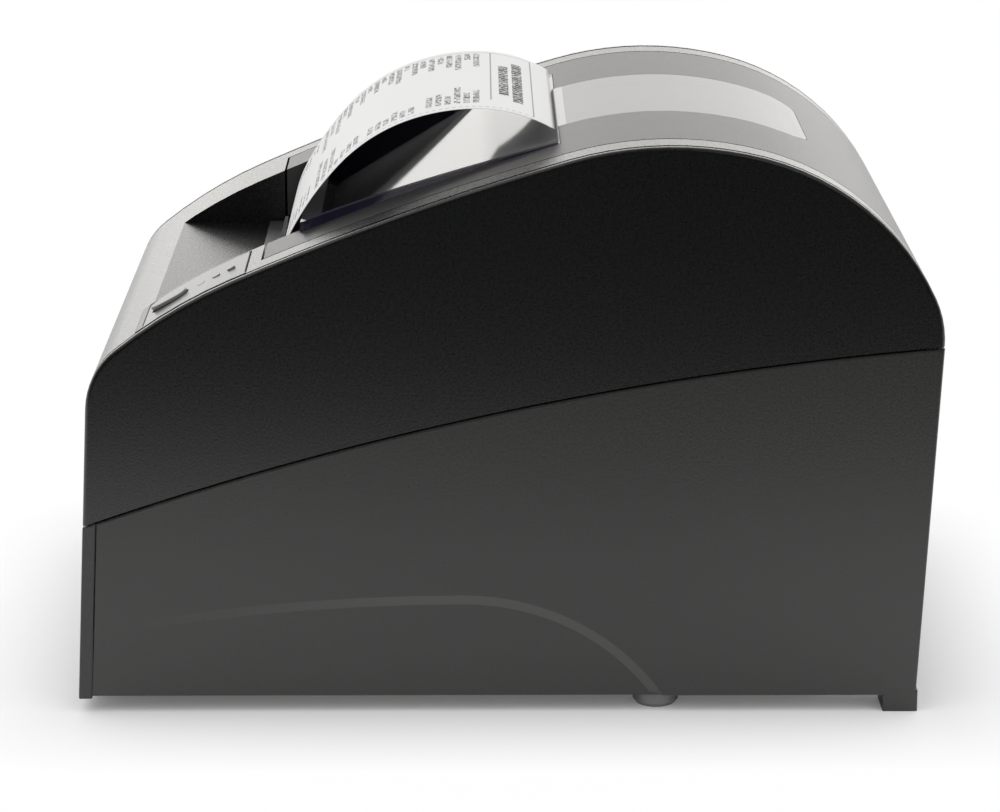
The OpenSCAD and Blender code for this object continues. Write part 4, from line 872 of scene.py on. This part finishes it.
class PRINTER_OT_receipt(bpy.types.Operator):
    """The printed strip: a thin sheet with a torn end, extruded along its curl"""

    bl_idname = "printer.receipt"
    bl_label = "Receipt"

    def execute(self, context):
        s = context.scene.printer_sizes
        low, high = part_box("receipt")
        path = self.path(low, high)
        cells = 2 * round((high.x - low.x) / TOOTH_PITCH)
        step = path[1] - path[0]
        deselect()
        bpy.ops.mesh.primitive_grid_add(x_subdivisions=cells, y_subdivisions=1, size=1)
        piece = context.object
        piece.name = piece.data.name = "printed_strip"
        piece.scale = (high.x - low.x, step.length, 1)
        piece.rotation_euler.x = math.atan2(-step.z, -step.y)
        piece.location = (path[0] + path[1]) / 2
        bpy.ops.object.transform_apply(location=True, rotation=True, scale=True)
        torn = lambda v: (v.co - path[0]).dot(step) < step.dot(step) / 4
        pitch = (high.x - low.x) / cells
        out = -step.normalized() * s.tooth / 2
        for odd, way in ((1, out), (0, -out)):
            pick(piece, lambda v: torn(v) and round((v.co.x - low.x) / pitch) % 2 == odd, "VERT")
            bpy.ops.transform.translate(value=way)
            done()
        pick(piece, lambda v: not torn(v), "VERT")
        bpy.ops.mesh.select_mode(type="EDGE")
        for a, b in zip(path[1:], path[2:]):
            bpy.ops.mesh.extrude_edges_move(TRANSFORM_OT_translate={"value": b - a})
        done()
        modify(piece, "SOLIDIFY", thickness=s.paper, offset=0, use_even_offset=True)
        self.measure(piece, path, high)
        smooth(piece, 40)
        c = context.scene.printer_colours
        self.print_marks(tuple(c.paper), tuple(c.ink))
        finish_piece(piece, "lid", "paper", "receipt", "receipt")
        return {"FINISHED"}

    def path(self, low, high):
        """Points along the strip, from its torn end back to the slot it comes out of"""
        turned, heading = [Vector((0, 0, 0))], 90.0
        for radius, turn in CURL:
            half = turn / ARC_STEPS / 2
            for _ in range(ARC_STEPS):
                lean = math.radians(heading - half)
                step = 2 * radius * MM * math.sin(math.radians(half))
                turned.append(turned[-1] + Vector((0, math.cos(lean), math.sin(lean))) * step)
                heading -= turn / ARC_STEPS
        start = Vector((0, low.y + STRIP_HALF, high.z - STRIP_HALF - max(p.z for p in turned)))
        foot = Vector((0, start.y, low.z))
        rise = [start + (foot - start) * k / SLOT_STEPS for k in range(1, SLOT_STEPS + 1)]
        return [start + p for p in reversed(turned)] + rise

    def measure(self, piece, path, high):
        """Stores each corner's distance in mm from the near side and the torn end, and if it faces out"""
        reach = [0.0]
        for a, b in zip(path, path[1:]):
            reach.append(reach[-1] + (b - a).length)
        values = []
        for v in piece.data.vertices:
            flat = Vector((0, v.co.y, v.co.z))
            k = min(range(len(path)), key=lambda i: (path[i] - flat).length_squared)
            a, b = path[max(k - 1, 0)], path[min(k + 1, len(path) - 1)]
            along = (b - a).normalized()
            outward = Vector((0, along.z, -along.y))
            values += [(high.x - v.co.x) / MM, (reach[k] + (flat - path[k]).dot(along)) / MM,
                       1.0 if (flat - path[k]).dot(outward) > 0 else 0.0]
        stored = piece.data.attributes.new("strip", "FLOAT_VECTOR", "POINT")
        stored.data.foreach_set("vector", values)

    def print_marks(self, paper, ink):
        """Rows of generic marks in two columns, under a framed heading of two bold rows"""
        f = Finish("receipt")
        strip = f.node("ShaderNodeAttribute", {"attribute_name": "strip"}, out="Vector")
        u, v, top = (f.axis(i, strip) for i in range(3))
        chance = lambda seed, row: f.node(
            "ShaderNodeTexWhiteNoise", {"noise_dimensions": "1D"}, {"W": row * ROW_SEED + seed}, "Value")
        within = lambda value, start, end: (value > start) * (value < end)
        field = lambda start, end, near, far: within(v, start, end) * within(u, near, far)
        signs = lambda along, pitch, share: (along / pitch).wrap() < share
        place = {0: (u / SPECK[0]).floor(), 1: (v / SPECK[1]).floor()}
        cell = f.node("ShaderNodeCombineXYZ", None, place)
        speck = f.node("ShaderNodeTexWhiteNoise", {"noise_dimensions": "2D"}, {"Vector": cell}, "Value")
        body = 0.0
        for start, end, pitch, near, near_span, far, far_span, filled in PRINT_BLOCKS:
            row = ((v - start) / pitch).floor()
            high_in_row = ((v - start) / pitch).wrap()
            line = within(v, start, end) * within(high_in_row, ROW_START, ROW_START + filled)
            left = within(u - near, 0.0, near_span[0] + chance(3.1, row) * near_span[1])
            right = within(far - u, 0.0, far_span[0] + chance(9.7, row) * far_span[1])
            left = (chance(5.3, row) > 0.12) * left
            right = (chance(7.9, row) > 0.05) * right
            body = (line * left.most(right)).most(body)
        text = body * signs(u, *SIGNS) * (speck > 0.36)
        bold = field(*HEADING[0]).most(field(*HEADING[1])) * signs(u, *BOLD_SIGNS) * (speck > 0.16)
        rules = field(*RULES[0]).most(field(*RULES[1]))
        sides = (field(*NEAR_RULE) * signs(v, *DASHES)).most(field(*FAR_RULE))
        inked = text.most(bold).most((rules + sides) * RULE_TONE) * top
        cloud = f.noise(25.0)
        f.set(
            Base_Color=f.mix(inked, f.mix(cloud, shade(paper, 0.985), shade(paper, 1.015)), ink),
            Roughness=0.55, Specular_IOR_Level=0.2,
        )


class PRINTER_PT_panel(bpy.types.Panel):
    """Lists the pieces of the printer and their settings"""

    bl_idname = "PRINTER_PT_panel"
    bl_label = "Receipt printer"
    bl_space_type = "VIEW_3D"
    bl_region_type = "UI"
    bl_category = "Printer"

    def draw(self, context):
        layout = self.layout
        for operator in OPERATORS:
            layout.operator(operator.bl_idname)
        for group in (context.scene.printer_colours, context.scene.printer_sizes):
            box = layout.box()
            for key in group.__annotations__:
                box.prop(group, key)


OPERATORS = (
    PRINTER_OT_stage,
    PRINTER_OT_clear_parts,
    PRINTER_OT_finishes,
    PRINTER_OT_shells,
    PRINTER_OT_small_parts,
    PRINTER_OT_receipt,
)
CLASSES = (PrinterColours, PrinterSizes, *OPERATORS, PRINTER_PT_panel)


def register():
    for item in CLASSES:
        bpy.utils.register_class(item)
    bpy.types.Scene.printer_colours = bpy.props.PointerProperty(type=PrinterColours)
    bpy.types.Scene.printer_sizes = bpy.props.PointerProperty(type=PrinterSizes)


def unregister():
    del bpy.types.Scene.printer_sizes
    del bpy.types.Scene.printer_colours
    for item in reversed(CLASSES):
        bpy.utils.unregister_class(item)


def main():
    register()
    for operator in OPERATORS:
        group, action = operator.bl_idname.split(".")
        if getattr(getattr(bpy.ops, group), action)() != {"FINISHED"}:
            raise RuntimeError(f"{operator.bl_label} did not finish")
    bpy.context.view_layer.update()


if __name__ == "__main__":
    main()
